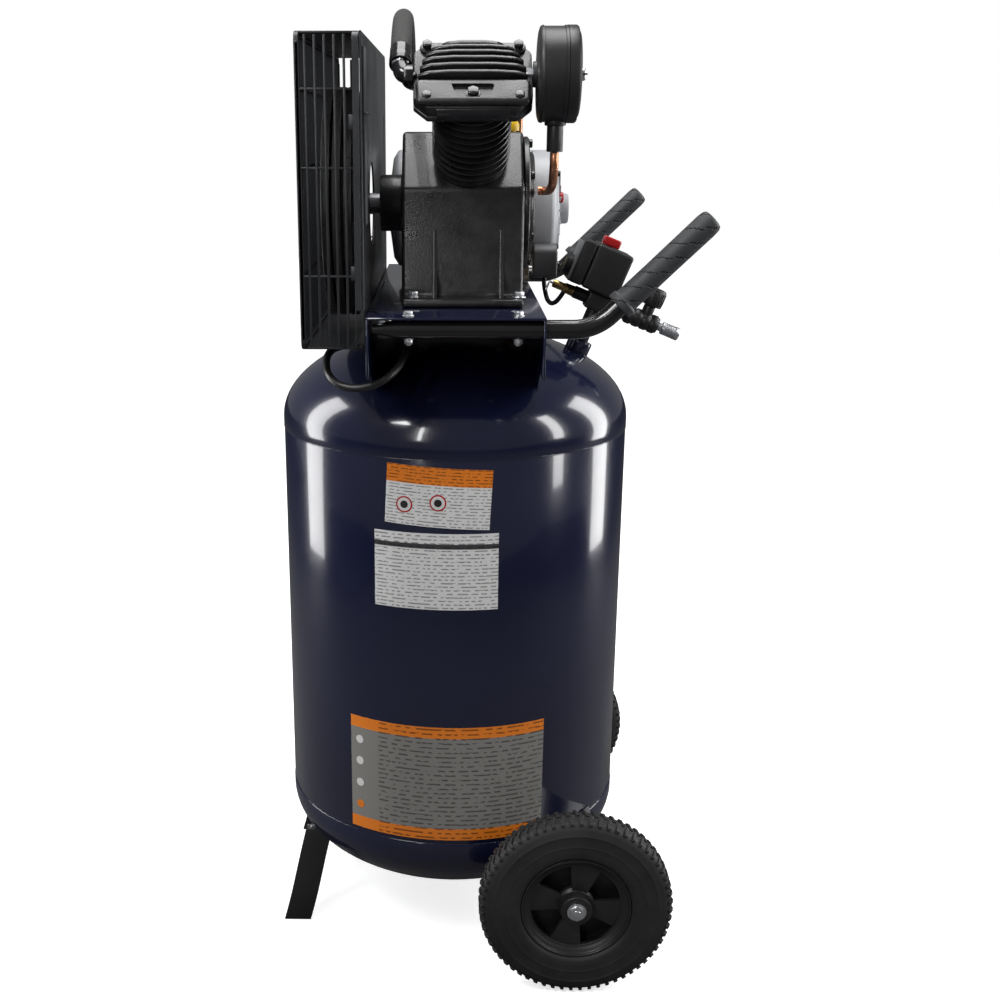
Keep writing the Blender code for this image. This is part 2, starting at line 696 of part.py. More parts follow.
def make_guard():
    """The belt guard: a deep slatted cage and the flat plate that closes it."""
    x0, x1 = GUARD_X
    y0, y1 = GUARD_Y
    z0, z1 = GUARD_Z
    frame = Matrix(((0, 0, 1, 0), (1, 0, 0, 0), (0, 1, 0, 0), (0, 0, 0, 1)))
    wall = 0.003
    bm = bmesh.new()
    add_prism(bm, chamfered((y0, z0), (y1, z1), 0.012), x0, x1, frame)
    cage = finish("belt_guard", bm, "black_plastic")
    tool = bmesh.new()
    inside = chamfered((y0 + wall, z0 + wall), (y1 - wall, z1 - wall), 0.011)
    add_prism(tool, inside, x0 + wall, x1 + 0.01, frame)
    cut(cage, tool, "black_plastic")
    tool = bmesh.new()
    slots = 18
    pitch = (y1 - y0 - 0.05) / slots
    for index in range(slots):
        middle = y0 + 0.025 + (index + 0.5) * pitch
        add_box(tool, (x0 - 0.01, middle - 0.0095, z0 + 0.025),
                (x0 + wall + 0.004, middle + 0.0095, z1 - 0.025))
    for index in range(4):
        middle = x0 + 0.0145 + index * 0.0140
        for start in (y0 - 0.01, y1 - wall - 0.004):
            add_box(tool, (middle - 0.0045, start, z0 + 0.025),
                    (middle + 0.0045, start + 0.017, z1 - 0.025))
    cut(cage, tool, "black_plastic")
    notch = bmesh.new()
    add_box(notch, (-0.1135, y0 - 0.01, z0 - 0.01), (-0.09, y0 + 0.025, 0.897))
    cut(cage, notch, "black_plastic")

    bm = bmesh.new()
    add_prism(bm, chamfered((y0, z0), (y1, z1), 0.012), x1 + GAP, x1 + wall, frame)
    plate = finish("guard_back_plate", bm, "black_plastic")
    tool = bmesh.new()
    add_rod(tool, 0.050, -0.12, -0.09, along_x(0, PUMP_Y, CRANK_Z), 20)
    add_rod(tool, 0.020, -0.12, -0.09, along_x(0, MOTOR_Y, MOTOR_Z), 16)
    add_box(tool, (-0.12, y0 - 0.01, z0 - 0.01), (-0.09, y0 + 0.025, 0.897))
    cut(plate, tool, "black_plastic")


def make_motor():
    axis = along_x(0, MOTOR_Y, MOTOR_Z)
    inner = MOTOR_R - WALL
    bm = bmesh.new()
    add_ring(bm, inner, MOTOR_R, -0.070, 0.105, axis, 22)
    shell = finish("motor_shell", bm, "motor_grey")
    bm = bmesh.new()
    add_box(bm, (-0.068, 0.060, SADDLE_TOP + GAP), (0.103, 0.190, 0.925))
    cradle = finish("cradle", bm, "motor_grey")
    tool = bmesh.new()
    add_rod(tool, MOTOR_R - 0.001, -0.12, 0.12, axis, 22)
    cut(cradle, tool, "motor_grey")
    tool = bmesh.new()
    add_box(tool, (-0.12, 0.080, 0.88), (0.12, 0.170, 0.8990))
    cut(cradle, tool, "motor_grey")
    join_into(shell, cradle, "motor_grey")

    bm = bmesh.new()
    outline = [(0.0086, -0.0925), (0.030, -0.0925), (0.070, -0.086), (MOTOR_R, -0.0785),
               (MOTOR_R, -0.0650), (inner, -0.0650), (inner, -0.0765), (0.067, -0.082),
               (0.030, -0.0875), (0.0086, -0.0875)]
    add_turned(bm, outline, axis, 22)
    unite(shell, bm, "motor_grey")

    bm = bmesh.new()
    outline = [(MOTOR_R, 0.1053), (MOTOR_R, 0.130), (0.072, 0.1385), (0.050, 0.142),
               (0.021, 0.145), (0.0205, 0.156), (0.018, 0.158), (0, 0.158), (0, 0.139),
               (0.050, 0.1365), (0.069, 0.1335), (inner, 0.127), (inner, 0.1053)]
    add_turned(bm, outline, axis, 22)
    bell = finish("motor_rear_bell", bm, "motor_grey")
    tool = bmesh.new()
    add_rod(tool, 0.0048, 0.12, 0.16, along_x(0, MOTOR_Y - 0.030, 1.0016), 12)
    cut(bell, tool, "motor_grey")
    bm = bmesh.new()
    outline = [(0.030, 0.8990), (0.070, 0.8990), (0.070, 0.943), (0.040, 0.943),
               (0.030, 0.935)]
    frame = Matrix(((0, 0, 1, 0), (1, 0, 0, 0), (0, 1, 0, 0), (0, 0, 0, 1)))
    add_prism(bm, outline, 0.1055, 0.1380, frame)
    cover = finish("cover", bm, "motor_grey")
    tool = bmesh.new()
    add_rod(tool, MOTOR_R - 0.001, 0.09, 0.15, axis, 22)
    cut(cover, tool, "motor_grey")
    join_into(bell, cover, "motor_grey")

    bm = bmesh.new()
    outline = [(0, -0.1560), (0.0080, -0.1560), (0.0080, -0.040), (0.044, -0.040),
               (0.044, 0.070), (0.0080, 0.070), (0.0080, 0.110), (0, 0.110)]
    add_turned(bm, outline, axis, 24)
    rotor = finish("motor_rotor", bm, "machined_iron")

    bm = bmesh.new()
    outline = [(0, 0.1280), (0.0062, 0.1280), (0.0062, 0.1300), (0.0044, 0.1300),
               (0.0044, 0.1495), (0, 0.1495)]
    add_turned(bm, outline, along_x(0, MOTOR_Y - 0.030, 1.0016), 12)
    button = finish("reset_button", bm, "red_plastic")
    return rotor, button


def make_filter():
    """Intake filter on the near head: base with its neck and down tube, cover, wing nut."""
    y = -0.256
    z = 1.1500
    axis = along_x(0, y, z)
    bm = bmesh.new()
    outline = [(0, 0.0820), (0.014, 0.0820), (0.014, 0.0860), (0.048, 0.0880),
               (0.0514, 0.0900), (0.0514, 0.1185), (0.0484, 0.1185), (0.0484, 0.0910),
               (0.0035, 0.0910), (0.0035, 0.1370), (0, 0.1370)]
    add_turned(bm, outline, axis, 22)
    base = finish("filter_base", bm, "black_plastic")
    tool = bmesh.new()
    add_rod(tool, 0.0092, 1.0680, 1.1020, along((0.1080, y, 0), (0, 0, 1)), 12)
    unite(base, tool, "black_plastic")

    bm = bmesh.new()
    outline = [(0.0040, 0.1300), (0.0440, 0.1300), (0.0480, 0.1270), (0.0480, 0.1188),
               (0.0514, 0.1188), (0.0514, 0.1290), (0.0480, 0.1330), (0.0040, 0.1335)]
    add_turned(bm, outline, axis, 22)
    cover = finish("filter_cover", bm, "black_plastic")

    bm = bmesh.new()
    add_ring(bm, 0.0039, 0.0075, 0.1338, 0.1400, axis, 12)
    nut = finish("wing_nut", bm, "zinc_steel")
    for side in (-1, 1):
        tool = bmesh.new()
        low, high = sorted((side * 0.0060, side * 0.0160))
        add_box(tool, (0.1345, y + low, z - 0.0013), (0.1420, y + high, z + 0.0013))
        unite(nut, tool, "zinc_steel")
    return cover, nut


def make_lines():
    """Discharge elbows, the braided crossover hose and the metal tubes."""
    half = math.sqrt(0.5)
    centre = 0.2036
    for label in ("near", "far"):
        frame = cylinder_frame(label, 0.0)
        head_side = CYLINDER_X[label] - 0.0655 - GAP
        place = frame @ Vector((0, 0, centre))
        inward = 1 if label == "near" else -1
        path = [Vector((head_side, place.y, place.z)), Vector((-0.0555, place.y, place.z))]
        if label == "far":
            path.insert(1, Vector((-0.044, place.y, place.z)))
        path.append(Vector((-0.0600, place.y + inward * 0.002, place.z + 0.002)))
        path.append(Vector((-0.0640, place.y + inward * 0.006, place.z + 0.006)))
        reach = 0.0190
        path.append(Vector((-0.0640, place.y + inward * reach * half, place.z + reach * half)))
        bm = bmesh.new()
        add_tube(bm, path, 0.0115, 10)
        finish("discharge_elbow_" + label, bm, "black_paint")

    arc_r = 0.184
    start = (cylinder_frame("near", 0.0) @ Vector((0, 0, centre))).z + (0.020 * half)
    chord = PUMP_Y - ((cylinder_frame("near", 0.0) @ Vector((0, 0, centre))).y + 0.020 * half)
    spread = math.asin(chord / arc_r)
    middle_z = start - arc_r * math.cos(spread)
    path = []
    for step in range(13):
        turn = -spread + 2 * spread * step / 12
        path.append(Vector((-0.064, PUMP_Y + arc_r * math.sin(turn),
                            middle_z + arc_r * math.cos(turn))))
    add = bmesh.new()
    add_tube(add, path, 0.0120, 10)
    finish("crossover_hose", add, "hose_braid")

    bm = bmesh.new()
    route = [(0.1080, -0.256, 1.0675), (0.1080, -0.254, 1.052), (0.1085, -0.235, 1.034),
             (0.1075, -0.205, 1.0250), (0.1040, -0.178, 1.0225), (0.0962, -0.175, 1.0225)]
    add_tube(bm, smooth_path(route, 3), 0.0052, 8)
    finish("breather_tube", bm, "copper")

    bm = bmesh.new()
    route = [(0.081, 0.0150 - 0.0010, 1.1340), (0.081, 0.006, 1.124), (0.081, 0.004, 1.105),
             (0.081, 0.016, 1.070), (0.081, 0.0200, 1.030), (0.081, 0.0200, 0.950),
             (0.081, 0.0200, 0.880), (0.081, 0.0200, 0.8455)]
    add_tube(bm, smooth_path(route, 2), 0.0048, 8)
    tube = finish("discharge_tube", bm, "copper")
    valve = bmesh.new()
    add_rod(valve, 0.0090, 0.8320, 0.8500, along((0.081, 0.020, 0), (0, 0, 1)), 6)
    unite(tube, valve, "copper")


def control_frame():
    """Local X runs along the regulator, local Z up through the pressure switch."""
    return Matrix.Translation(CONTROL_AT) @ Matrix.Rotation(CONTROL_TILT, 4, "Y")


def make_controls():
    frame = control_frame()
    lengthwise = frame @ Matrix.Rotation(math.pi / 2, 4, "Y")
    moving = {}

    bm = bmesh.new()
    add_box(bm, (-0.018, -0.015, -0.0130), (0.018, 0.015, 0.0110), frame)
    manifold = finish("manifold", bm, "black_plastic")
    for start, end, radius, pipe in ((-0.0557, -0.010, 0.0100, frame),
                                     (-0.0355, -0.015, 0.0085, lengthwise),
                                     (0.0150, 0.0400, 0.0095, lengthwise)):
        tool = bmesh.new()
        add_rod(tool, radius, start, end, pipe, 16)
        unite(manifold, tool, "black_plastic")

    bm = bmesh.new()
    outline = chamfered((-0.053, -0.033), (0.018, 0.033), 0.008)
    add_prism(bm, outline, 0.0115, 0.0720, frame)
    switch = finish("pressure_switch", bm, "black_plastic")
    knob_x = -0.0145
    knob_frame = frame @ Matrix.Translation((knob_x, 0, 0))
    tool = bmesh.new()
    add_rod(tool, 0.0050, 0.050, 0.080, knob_frame, 12)
    cut(switch, tool, "black_plastic")
    bm = bmesh.new()
    outline = [(0, 0.052), (0.0045, 0.052), (0.0045, 0.0725), (0.0125, 0.0725),
               (0.0125, 0.0820), (0.0105, 0.0835), (0, 0.0835)]
    add_turned(bm, outline, knob_frame, 16)
    moving["switch_knob"] = finish("switch_knob", bm, "red_plastic")

    bm = bmesh.new()
    outline = [(0, -0.0358), (0.0078, -0.0358), (0.0078, -0.0440), (0.0062, -0.0440),
               (0.0062, -0.0655), (0.0022, -0.0655), (0.0022, -0.0560), (0, -0.0560)]
    add_turned(bm, outline, lengthwise, 12)
    finish("safety_valve", bm, "brass")
    bm = bmesh.new()
    add_rod(bm, 0.0017, -0.0705, -0.0570, lengthwise, 8)
    ring = finish("safety_ring", bm, "zinc_steel")
    tool = bmesh.new()
    eye = frame @ Matrix.Translation((-0.0705, 0, -0.0065))
    eye = eye @ Matrix.Rotation(math.pi / 2, 4, "Y")
    add_ring(tool, 0.0058, 0.0074, -0.0008, 0.0008, eye, 16)
    unite(ring, tool, "zinc_steel")
    moving["safety_ring"] = ring

    bm = bmesh.new()
    outline = [(0, 0.0403), (0.0125, 0.0403), (0.0125, 0.0880), (0.0055, 0.0880),
               (0.0055, 0.1180), (0.0030, 0.1180), (0.0030, 0.1050), (0, 0.1050)]
    add_turned(bm, outline, lengthwise, 16)
    regulator = finish("regulator", bm, "black_plastic")
    knob_frame = frame @ Matrix.Translation((0.0675, 0, 0))
    tool = bmesh.new()
    add_rod(tool, 0.0080, 0.0060, 0.0212, knob_frame, 16)
    unite(regulator, tool, "black_plastic")
    bm = bmesh.new()
    outline = [(0, 0.0215), (0.0150, 0.0215), (0.0160, 0.0235), (0.0150, 0.0440),
               (0.0130, 0.0460), (0, 0.0460)]
    add_turned(bm, outline, knob_frame, 18)
    moving["regulator_knob"] = finish("regulator_knob", bm, "black_plastic")
    bm = bmesh.new()
    outline = [(0.0058, 0.0940), (0.0088, 0.0940), (0.0088, 0.1190), (0.0058, 0.1190)]
    add_turned(bm, outline, lengthwise, 18)
    moving["coupler_sleeve"] = finish("coupler_sleeve", bm, "zinc_steel")

    bm = bmesh.new()
    gauge_frame = lengthwise @ Matrix.Translation((-0.030, 0, 0))
    add_rod(bm, 0.0148, -0.0615, -0.0533, gauge_frame, 20)
    finish("tank_gauge", bm, "black_plastic")
    return moving


def add_cable(name, route, radius):
    """A cable as a round-section curve with filled caps."""
    path = smooth_path(route, 2)
    curve = bpy.data.curves.new(name, "CURVE")
    curve.dimensions = "3D"
    curve.bevel_depth = radius
    curve.bevel_resolution = 2
    curve.use_fill_caps = True
    spline = curve.splines.new("POLY")
    spline.points.add(len(path) - 1)
    for point, spot in zip(spline.points, path):
        point.co = (*spot, 1.0)
    obj = bpy.data.objects.new(name, curve)
    obj.data.materials.append(material("cable_jacket"))
    bpy.context.collection.objects.link(obj)


def make_cables():
    add_cable("supply_cable", [
        (-0.1036, -0.150, 0.838), (-0.118, -0.152, 0.838), (-0.136, -0.165, 0.837),
        (-0.150, -0.195, 0.836), (-0.1545, -0.230, 0.830), (-0.150, -0.262, 0.818),
        (-0.136, -0.281, 0.809), (-0.117, -0.288, 0.8065), (-0.098, -0.288, 0.8095),
        (-0.081, -0.284, 0.8170), (-0.068, -0.270, 0.8280), (-0.060, -0.248, 0.8400),
        (-0.055, -0.222, 0.8480), (-0.052, -0.195, 0.8520), (-0.050, -0.165, 0.8530),
    ], 0.0047)
    add_cable("motor_lead", [
        (0.1220, 0.052, 0.8984), (0.1220, 0.052, 0.8900), (0.1235, 0.046, 0.8790),
        (0.1262, 0.037, 0.8690), (0.1305, 0.029, 0.8650), (0.1360, 0.023, 0.8670),
        (0.1420, 0.0205, 0.8740), (0.1475, 0.0200, 0.8830), (0.1515, 0.0200, 0.8920),
    ], 0.0033)


def mesh_shift(obj, offset):
    """Move an object's origin by an offset without moving its surface."""
    obj.data.transform(Matrix.Translation(-offset))
    obj.location += offset


def place_origins(moving):
    """Set every moving piece's origin on its joint's axis."""
    for obj, point in moving:
        mesh_shift(obj, Vector(point))


def centre_on_floor():
    """Bring the middle of the whole object's box over the origin along X."""
    low = math.inf
    high = -math.inf
    for obj in bpy.data.objects:
        for corner in obj.bound_box:
            x = (obj.matrix_world @ Vector(corner)).x
            low = min(low, x)
            high = max(high, x)
    for obj in bpy.data.objects:
        obj.location.x -= 0.5 * (low + high)


def main():
    reset_scene()
    make_tank()
    make_feet()
    moving = []
    for label, side in (("near", -1), ("far", 1)):
        make_axle_bracket(label, side)
        make_axle_bolt(label, side)
        for obj in make_wheel(label, side):
            moving.append((obj, (AXLE_X, side * WHEEL_Y, WHEEL_R)))
    moving.append((make_drain_valve(), (0, 0, 0.038)))
    make_saddle()
    make_handles()
    moving.append((make_crankcase(), (0.066, PUMP_Y, 1.09)))
    make_cylinders()
    train = make_crank_train()
    crank = Vector((0, PUMP_Y, CRANK_Z))
    moving.append((train["crankshaft"], crank))
    for label in ("near", "far"):
        pin = (CYLINDER_X[label], PUMP_Y, CRANK_Z + CRANK_THROW)
        moving.append((train["rod_" + label], pin))
        moving.append((train["piston_" + label], (CYLINDER_X[label], PUMP_Y, CRANK_Z)))
    flywheel, pulley = make_belt_drive()
    moving.append((flywheel, crank))
    motor_axis = (0, MOTOR_Y, MOTOR_Z)
    moving.append((pulley, motor_axis))
    make_guard()
    rotor, button = make_motor()
    moving.append((rotor, motor_axis))
    moving.append((button, (0.1495, MOTOR_Y - 0.030, 1.0016)))
    for obj in make_filter():
        moving.append((obj, (0.1335, -0.256, 1.150)))
    make_lines()
    frame = control_frame()
    anchors = {"switch_knob": (-0.0145, 0, 0.0725), "safety_ring": (-0.0655, 0, 0),
               "regulator_knob": (0.0675, 0, 0.0215), "coupler_sleeve": (0.0940, 0, 0)}
    for name, obj in make_controls().items():
        moving.append((obj, frame @ Vector(anchors[name])))
    make_cables()
    place_origins(moving)
    bpy.context.view_layer.update()
    centre_on_floor()
    bpy.context.view_layer.update()


main()
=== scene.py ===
import json
import math

import bpy
import numpy as np
from mathutils import Matrix, Vector


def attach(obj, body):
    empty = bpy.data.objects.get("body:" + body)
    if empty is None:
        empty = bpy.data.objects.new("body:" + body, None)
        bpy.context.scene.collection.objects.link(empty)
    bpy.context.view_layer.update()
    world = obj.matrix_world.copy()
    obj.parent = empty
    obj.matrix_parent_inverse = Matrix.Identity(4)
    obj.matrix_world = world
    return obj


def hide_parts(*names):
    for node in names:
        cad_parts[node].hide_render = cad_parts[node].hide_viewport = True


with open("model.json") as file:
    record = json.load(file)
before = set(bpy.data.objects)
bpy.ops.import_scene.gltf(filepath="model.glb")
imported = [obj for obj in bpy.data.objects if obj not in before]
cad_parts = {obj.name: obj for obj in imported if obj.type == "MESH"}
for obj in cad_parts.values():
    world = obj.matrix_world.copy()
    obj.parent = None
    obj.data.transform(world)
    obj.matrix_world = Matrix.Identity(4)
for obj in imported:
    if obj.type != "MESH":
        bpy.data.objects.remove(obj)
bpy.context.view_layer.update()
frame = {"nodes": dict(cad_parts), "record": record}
bpy.ops.object.select_all(action="DESELECT")

# The tank's axis stands this far to +X of the middle of the overall box.
HOME = Matrix.Translation((-0.0314657, 0.0, 0.0))
WORLD = Matrix.Identity(4)
# The pressure controls lean out from the tank: Z up their riser, X away from the tank.
CONTROL = Matrix.Translation((0.191, 0.0, 0.871)) @ Matrix.Rotation(math.radians(22), 4, "Y")
TANK_R = 0.2336
DOME_R = 0.2342
DOME_DEPTH = 0.117
DOME_TOP_Z = 0.72
DOME_LOW_Z = 0.172
PRINT_LIFT = 0.00008
SADDLE_TOP = 0.8905
PUMP_Y = -0.115
CRANK_Z = 1.005
MOTOR_Y = 0.125
MOTOR_Z = 0.985
AXLE_X = 0.16
WHEEL_R = 0.127
HANDLE_TILT = math.radians(44.1)
HANDLE_Y = 0.295
HANDLE_Z = 0.8757
HANDLE_BEND = 0.06
GRIP_X = 0.182
GRIP_Z = 0.9007
HALF = math.sqrt(0.5)
CYLINDER_X = {"near": 0.016, "far": 0.0265}


# ---------------------------------------------------------------- placing and finishing pieces

def only(obj):
    bpy.ops.object.select_all(action="DESELECT")
    obj.select_set(True)
    bpy.context.view_layer.objects.active = obj


def edit(obj):
    only(obj)
    bpy.ops.object.mode_set(mode="EDIT")
    bpy.ops.mesh.select_all(action="SELECT")


def leave_edit():
    bpy.ops.object.mode_set(mode="OBJECT")


def settle(obj):
    """Put the object's place, turn and size into its mesh."""
    only(obj)
    bpy.ops.object.transform_apply(location=True, rotation=True, scale=True)


def applied(obj, kind, **settings):
    modifier = obj.modifiers.new(kind.lower(), kind)
    for key, value in settings.items():
        setattr(modifier, key, value)
    only(obj)
    bpy.ops.object.modifier_apply(modifier=modifier.name)
    return obj


def rounded(obj, width, segments=2, angle=35):
    return applied(obj, "BEVEL", width=width, segments=segments, limit_method="ANGLE",
                   angle_limit=math.radians(angle), harden_normals=False)


def smooth(obj, angle=38):
    only(obj)
    bpy.ops.object.shade_smooth_by_angle(angle=math.radians(angle))
    return obj


def cut(obj, cutter):
    applied(obj, "BOOLEAN", operation="DIFFERENCE", solver="EXACT", object=cutter)
    bpy.data.objects.remove(cutter)
    return obj


def joined(pieces):
    bpy.ops.object.select_all(action="DESELECT")
    for piece in pieces:
        piece.select_set(True)
    bpy.context.view_layer.objects.active = pieces[0]
    bpy.ops.object.join()
    return pieces[0]


def copy_of(obj, move):
    """A copy with its own mesh, moved by a matrix."""
    twin = obj.copy()
    twin.data = obj.data.copy()
    twin.data.transform(move)
    bpy.context.collection.objects.link(twin)
    return twin


def ring_of(obj, count, centre):
    """Copies of a piece spaced evenly about the centre frame's Z, joined into one."""
    pieces = [obj]
    for step in range(1, count):
        turn = Matrix.Rotation(2 * math.pi * step / count, 4, "Z")
        pieces.append(copy_of(obj, centre @ turn @ centre.inverted()))
    return joined(pieces)


def place(obj, name, body, look, nodes=(), angle=38):
    """Name a finished piece, shade it, move it home and let it ride on its body."""
    obj.name = name
    obj.data.name = name
    obj.data.materials.clear()
    obj.data.materials.append(look)
    obj.data.transform(HOME)
    smooth(obj, angle)
    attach(obj, body)
    if nodes:
        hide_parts(*nodes)
    return obj


def turned(obj, frame_at):
    """Move a piece by a matrix. A mirroring one turns its faces the right way out again."""
    obj.data.transform(frame_at)
    if frame_at.determinant() < 0:
        obj.data.flip_normals()
    return obj


def along(point, direction):
    """A frame at a point whose Z runs in a direction."""
    turn = Vector(direction).to_track_quat("Z", "Y").to_matrix().to_4x4()
    return Matrix.Translation(point) @ turn


def along_x(x, y, z):
    return along((x, y, z), (1, 0, 0))


# ---------------------------------------------------------------- basic shapes, by operator

def softened(points, size, steps=3):
    """Round each corner of an outline with a small arc. A corner on the axis stays sharp."""
    out = []
    count = len(points)
    for index, point in enumerate(points):
        here = Vector(point)
        back = Vector(points[index - 1]) - here
        ahead = Vector(points[(index + 1) % count]) - here
        reach = min(size, 0.45 * back.length, 0.45 * ahead.length)
        if back.length < 1e-7 or ahead.length < 1e-7 or here.x < 1e-6:
            out.append(tuple(here))
            continue
        first = here + back.normalized() * reach
        last = here + ahead.normalized() * reach
        for step in range(steps + 1):
            t = step / steps
            out.append(tuple(first * (1 - t) ** 2 + here * 2 * t * (1 - t) + last * t * t))
    return out


def drawn(name, points, edges, faces=()):
    mesh = bpy.data.meshes.new(name)
    mesh.from_pydata(points, edges, faces)
    obj = bpy.data.objects.new(name, mesh)
    bpy.context.collection.objects.link(obj)
    return obj


def spun(profile, where, steps=64, soft=0.0):
    """Spin a (radius, height) outline about the frame's Z."""
    if soft:
        profile = softened(profile, soft)
    points = [(r, 0.0, h) for r, h in profile]
    count = len(points)
    edges = [(i, (i + 1) % count) for i in range(count)]
    obj = drawn("spun", points, edges)
    edit(obj)
    bpy.ops.mesh.spin(steps=steps, angle=2 * math.pi, center=(0, 0, 0), axis=(0, 0, 1))
    bpy.ops.mesh.select_all(action="SELECT")
    bpy.ops.mesh.remove_doubles(threshold=1e-6)
    bpy.ops.mesh.dissolve_degenerate(threshold=1e-6)
    bpy.ops.mesh.delete_loose()
    bpy.ops.mesh.select_all(action="SELECT")
    bpy.ops.mesh.normals_make_consistent(inside=False)
    leave_edit()
    obj.data.transform(where)
    return obj


def rod(radius, start, end, where, sides=32, edge=0.0):
    """A round or many-sided bar between two heights on the frame's Z."""
    bpy.ops.mesh.primitive_cylinder_add(vertices=sides, radius=radius, depth=end - start,
                                        location=(0, 0, (start + end) / 2))
    obj = bpy.context.object
    settle(obj)
    if edge:
        rounded(obj, edge, 2, 50)
    obj.data.transform(where)
    return obj


def block(low, high, where=Matrix.Identity(4), edge=0.0, segments=2):
    size = [h - l for l, h in zip(low, high)]
    bpy.ops.mesh.primitive_cube_add(size=1, location=[(h + l) / 2 for l, h in zip(low, high)],
                                    scale=size)
    obj = bpy.context.object
    settle(obj)
    if edge:
        rounded(obj, edge, segments)
    obj.data.transform(where)
    return obj


def prism(outline, start, end, where, edge=0.0, segments=2):
    """An outline drawn on the frame's X-Y plane and extruded along its Z."""
    points = [(x, y, start) for x, y in outline]
    obj = drawn("prism", points, [], [list(range(len(points)))])
    edit(obj)
    bpy.ops.mesh.extrude_region_move(TRANSFORM_OT_translate={"value": (0, 0, end - start)})
    bpy.ops.mesh.select_all(action="SELECT")
    bpy.ops.mesh.normals_make_consistent(inside=False)
    leave_edit()
    if edge:
        rounded(obj, edge, segments)
    obj.data.transform(where)
    return obj


# (across Y, up Z) outlines extruded along X
SIDEWAYS = Matrix(((0, 0, 1, 0), (1, 0, 0, 0), (0, 1, 0, 0), (0, 0, 0, 1)))


def smooth_path(points, steps=6):
    """Points on a Catmull-Rom curve through the given ones."""
    spots = [Vector(p) for p in points]
    spots = [spots[0] * 2 - spots[1]] + spots + [spots[-1] * 2 - spots[-2]]
    out = []
    for a, b, c, d in zip(spots, spots[1:], spots[2:], spots[3:]):
        for step in range(steps):
            t = step / steps
            out.append(0.5 * (2 * b + (c - a) * t + (2 * a - 5 * b + 4 * c - d) * t * t
                              + (3 * b - 3 * c + d - a) * t ** 3))
    out.append(spots[-2])
    return out


def tube(path, radius, resolution):
    """A round bar along a path, with closed ends."""
    curve = bpy.data.curves.new("tube", "CURVE")
    curve.dimensions = "3D"
    curve.bevel_depth = radius
    curve.bevel_resolution = resolution
    curve.use_fill_caps = True
    spline = curve.splines.new("POLY")
    spline.points.add(len(path) - 1)
    for point, spot in zip(spline.points, path):
        point.co = (*spot, 1.0)
    obj = bpy.data.objects.new("tube", curve)
    bpy.context.collection.objects.link(obj)
    only(obj)
    bpy.ops.object.convert(target="MESH")
    obj = bpy.context.object
    edit(obj)
    bpy.ops.mesh.remove_doubles(threshold=1e-6)
    bpy.ops.mesh.normals_make_consistent(inside=False)
    leave_edit()
    return obj


def bolt(place_at, direction, across, height, washer=0.0):
    """A hexagon head with chamfered corners on a washer, standing on a face."""
    spot = along(place_at, direction)
    base = 0.0012 if washer else 0.0
    head = rod(across / 2 / math.cos(math.pi / 6), base, base + height, spot, 6)
    rounded(head, min(0.0008, height * 0.18), 2, 50)
    pieces = [head]
    if washer:
        pieces.append(rod(washer / 2, 0.0, base, spot, 32, 0.0003))
    return joined(pieces)


# ---------------------------------------------------------------- materials

def add_node(tree, kind, inputs=(), **settings):
    """A shader node. An input is given its value, or a link if it is another node's socket."""
    item = tree.nodes.new("ShaderNode" + kind)
    for key, value in settings.items():
        setattr(item, key, value)
    fill(tree, item, dict(inputs))
    return item


def fill(tree, item, inputs):
    for key, value in inputs.items():
        if isinstance(value, bpy.types.NodeSocket):
            tree.links.new(value, item.inputs[key])
        else:
            item.inputs[key].default_value = value


def new_look(name):
    """A node material, its node tree and its shader."""
    look = bpy.data.materials.new(name)
    look.use_nodes = True
    return look, look.node_tree, look.node_tree.nodes["Principled BSDF"]


def make_surface_group():
    """Colour drift, uneven gloss and fine grain, shared by the hard surfaces."""
    tree = bpy.data.node_groups.new("surface drift", "ShaderNodeTree")
    for name, kind, default in (
            ("Colour", "NodeSocketColor", (0.5, 0.5, 0.5, 1)),
            ("Drift Colour", "NodeSocketColor", (0.4, 0.4, 0.4, 1)),
            ("Drift Scale", "NodeSocketFloat", 8.0),
            ("Gloss Low", "NodeSocketFloat", 0.3),
            ("Gloss High", "NodeSocketFloat", 0.4),
            ("Grain Scale", "NodeSocketFloat", 900.0),
            ("Grain Height", "NodeSocketFloat", 0.1)):
        item = tree.interface.new_socket(name=name, in_out="INPUT", socket_type=kind)
        item.default_value = default
    for name, kind in (("Colour", "NodeSocketColor"), ("Roughness", "NodeSocketFloat"),
                       ("Normal", "NodeSocketVector")):
        tree.interface.new_socket(name=name, in_out="OUTPUT", socket_type=kind)
    given = tree.nodes.new("NodeGroupInput").outputs
    result = tree.nodes.new("NodeGroupOutput")
    where = add_node(tree, "TexCoord").outputs["Object"]
    drift = add_node(tree, "TexNoise", {"Detail": 5.0, "Roughness": 0.6, "Vector": where,
                                        "Scale": given["Drift Scale"]}).outputs["Fac"]
    spread = add_node(tree, "MapRange", {"From Min": 0.35, "From Max": 0.65, "Value": drift})
    blend = add_node(tree, "Mix", data_type="RGBA")
    fill(tree, blend, {0: spread.outputs["Result"], 6: given["Colour"],
                       7: given["Drift Colour"]})
    gloss = add_node(tree, "MapRange", {"From Min": 0.3, "From Max": 0.7, "Value": drift,
                                        "To Min": given["Gloss Low"],
                                        "To Max": given["Gloss High"]})
    grain = add_node(tree, "TexNoise", {"Detail": 3.0, "Vector": where,
                                        "Scale": given["Grain Scale"]})
    height = add_node(tree, "Math", {0: grain.outputs["Fac"], 1: given["Grain Height"]},
                      operation="MULTIPLY")
    bump = add_node(tree, "Bump", {"Strength": 0.6, "Distance": 0.001,
                                   "Height": height.outputs[0]})
    fill(tree, result, {"Colour": blend.outputs[2], "Roughness": gloss.outputs["Result"],
                        "Normal": bump.outputs["Normal"]})
    return tree


SURFACE = make_surface_group()


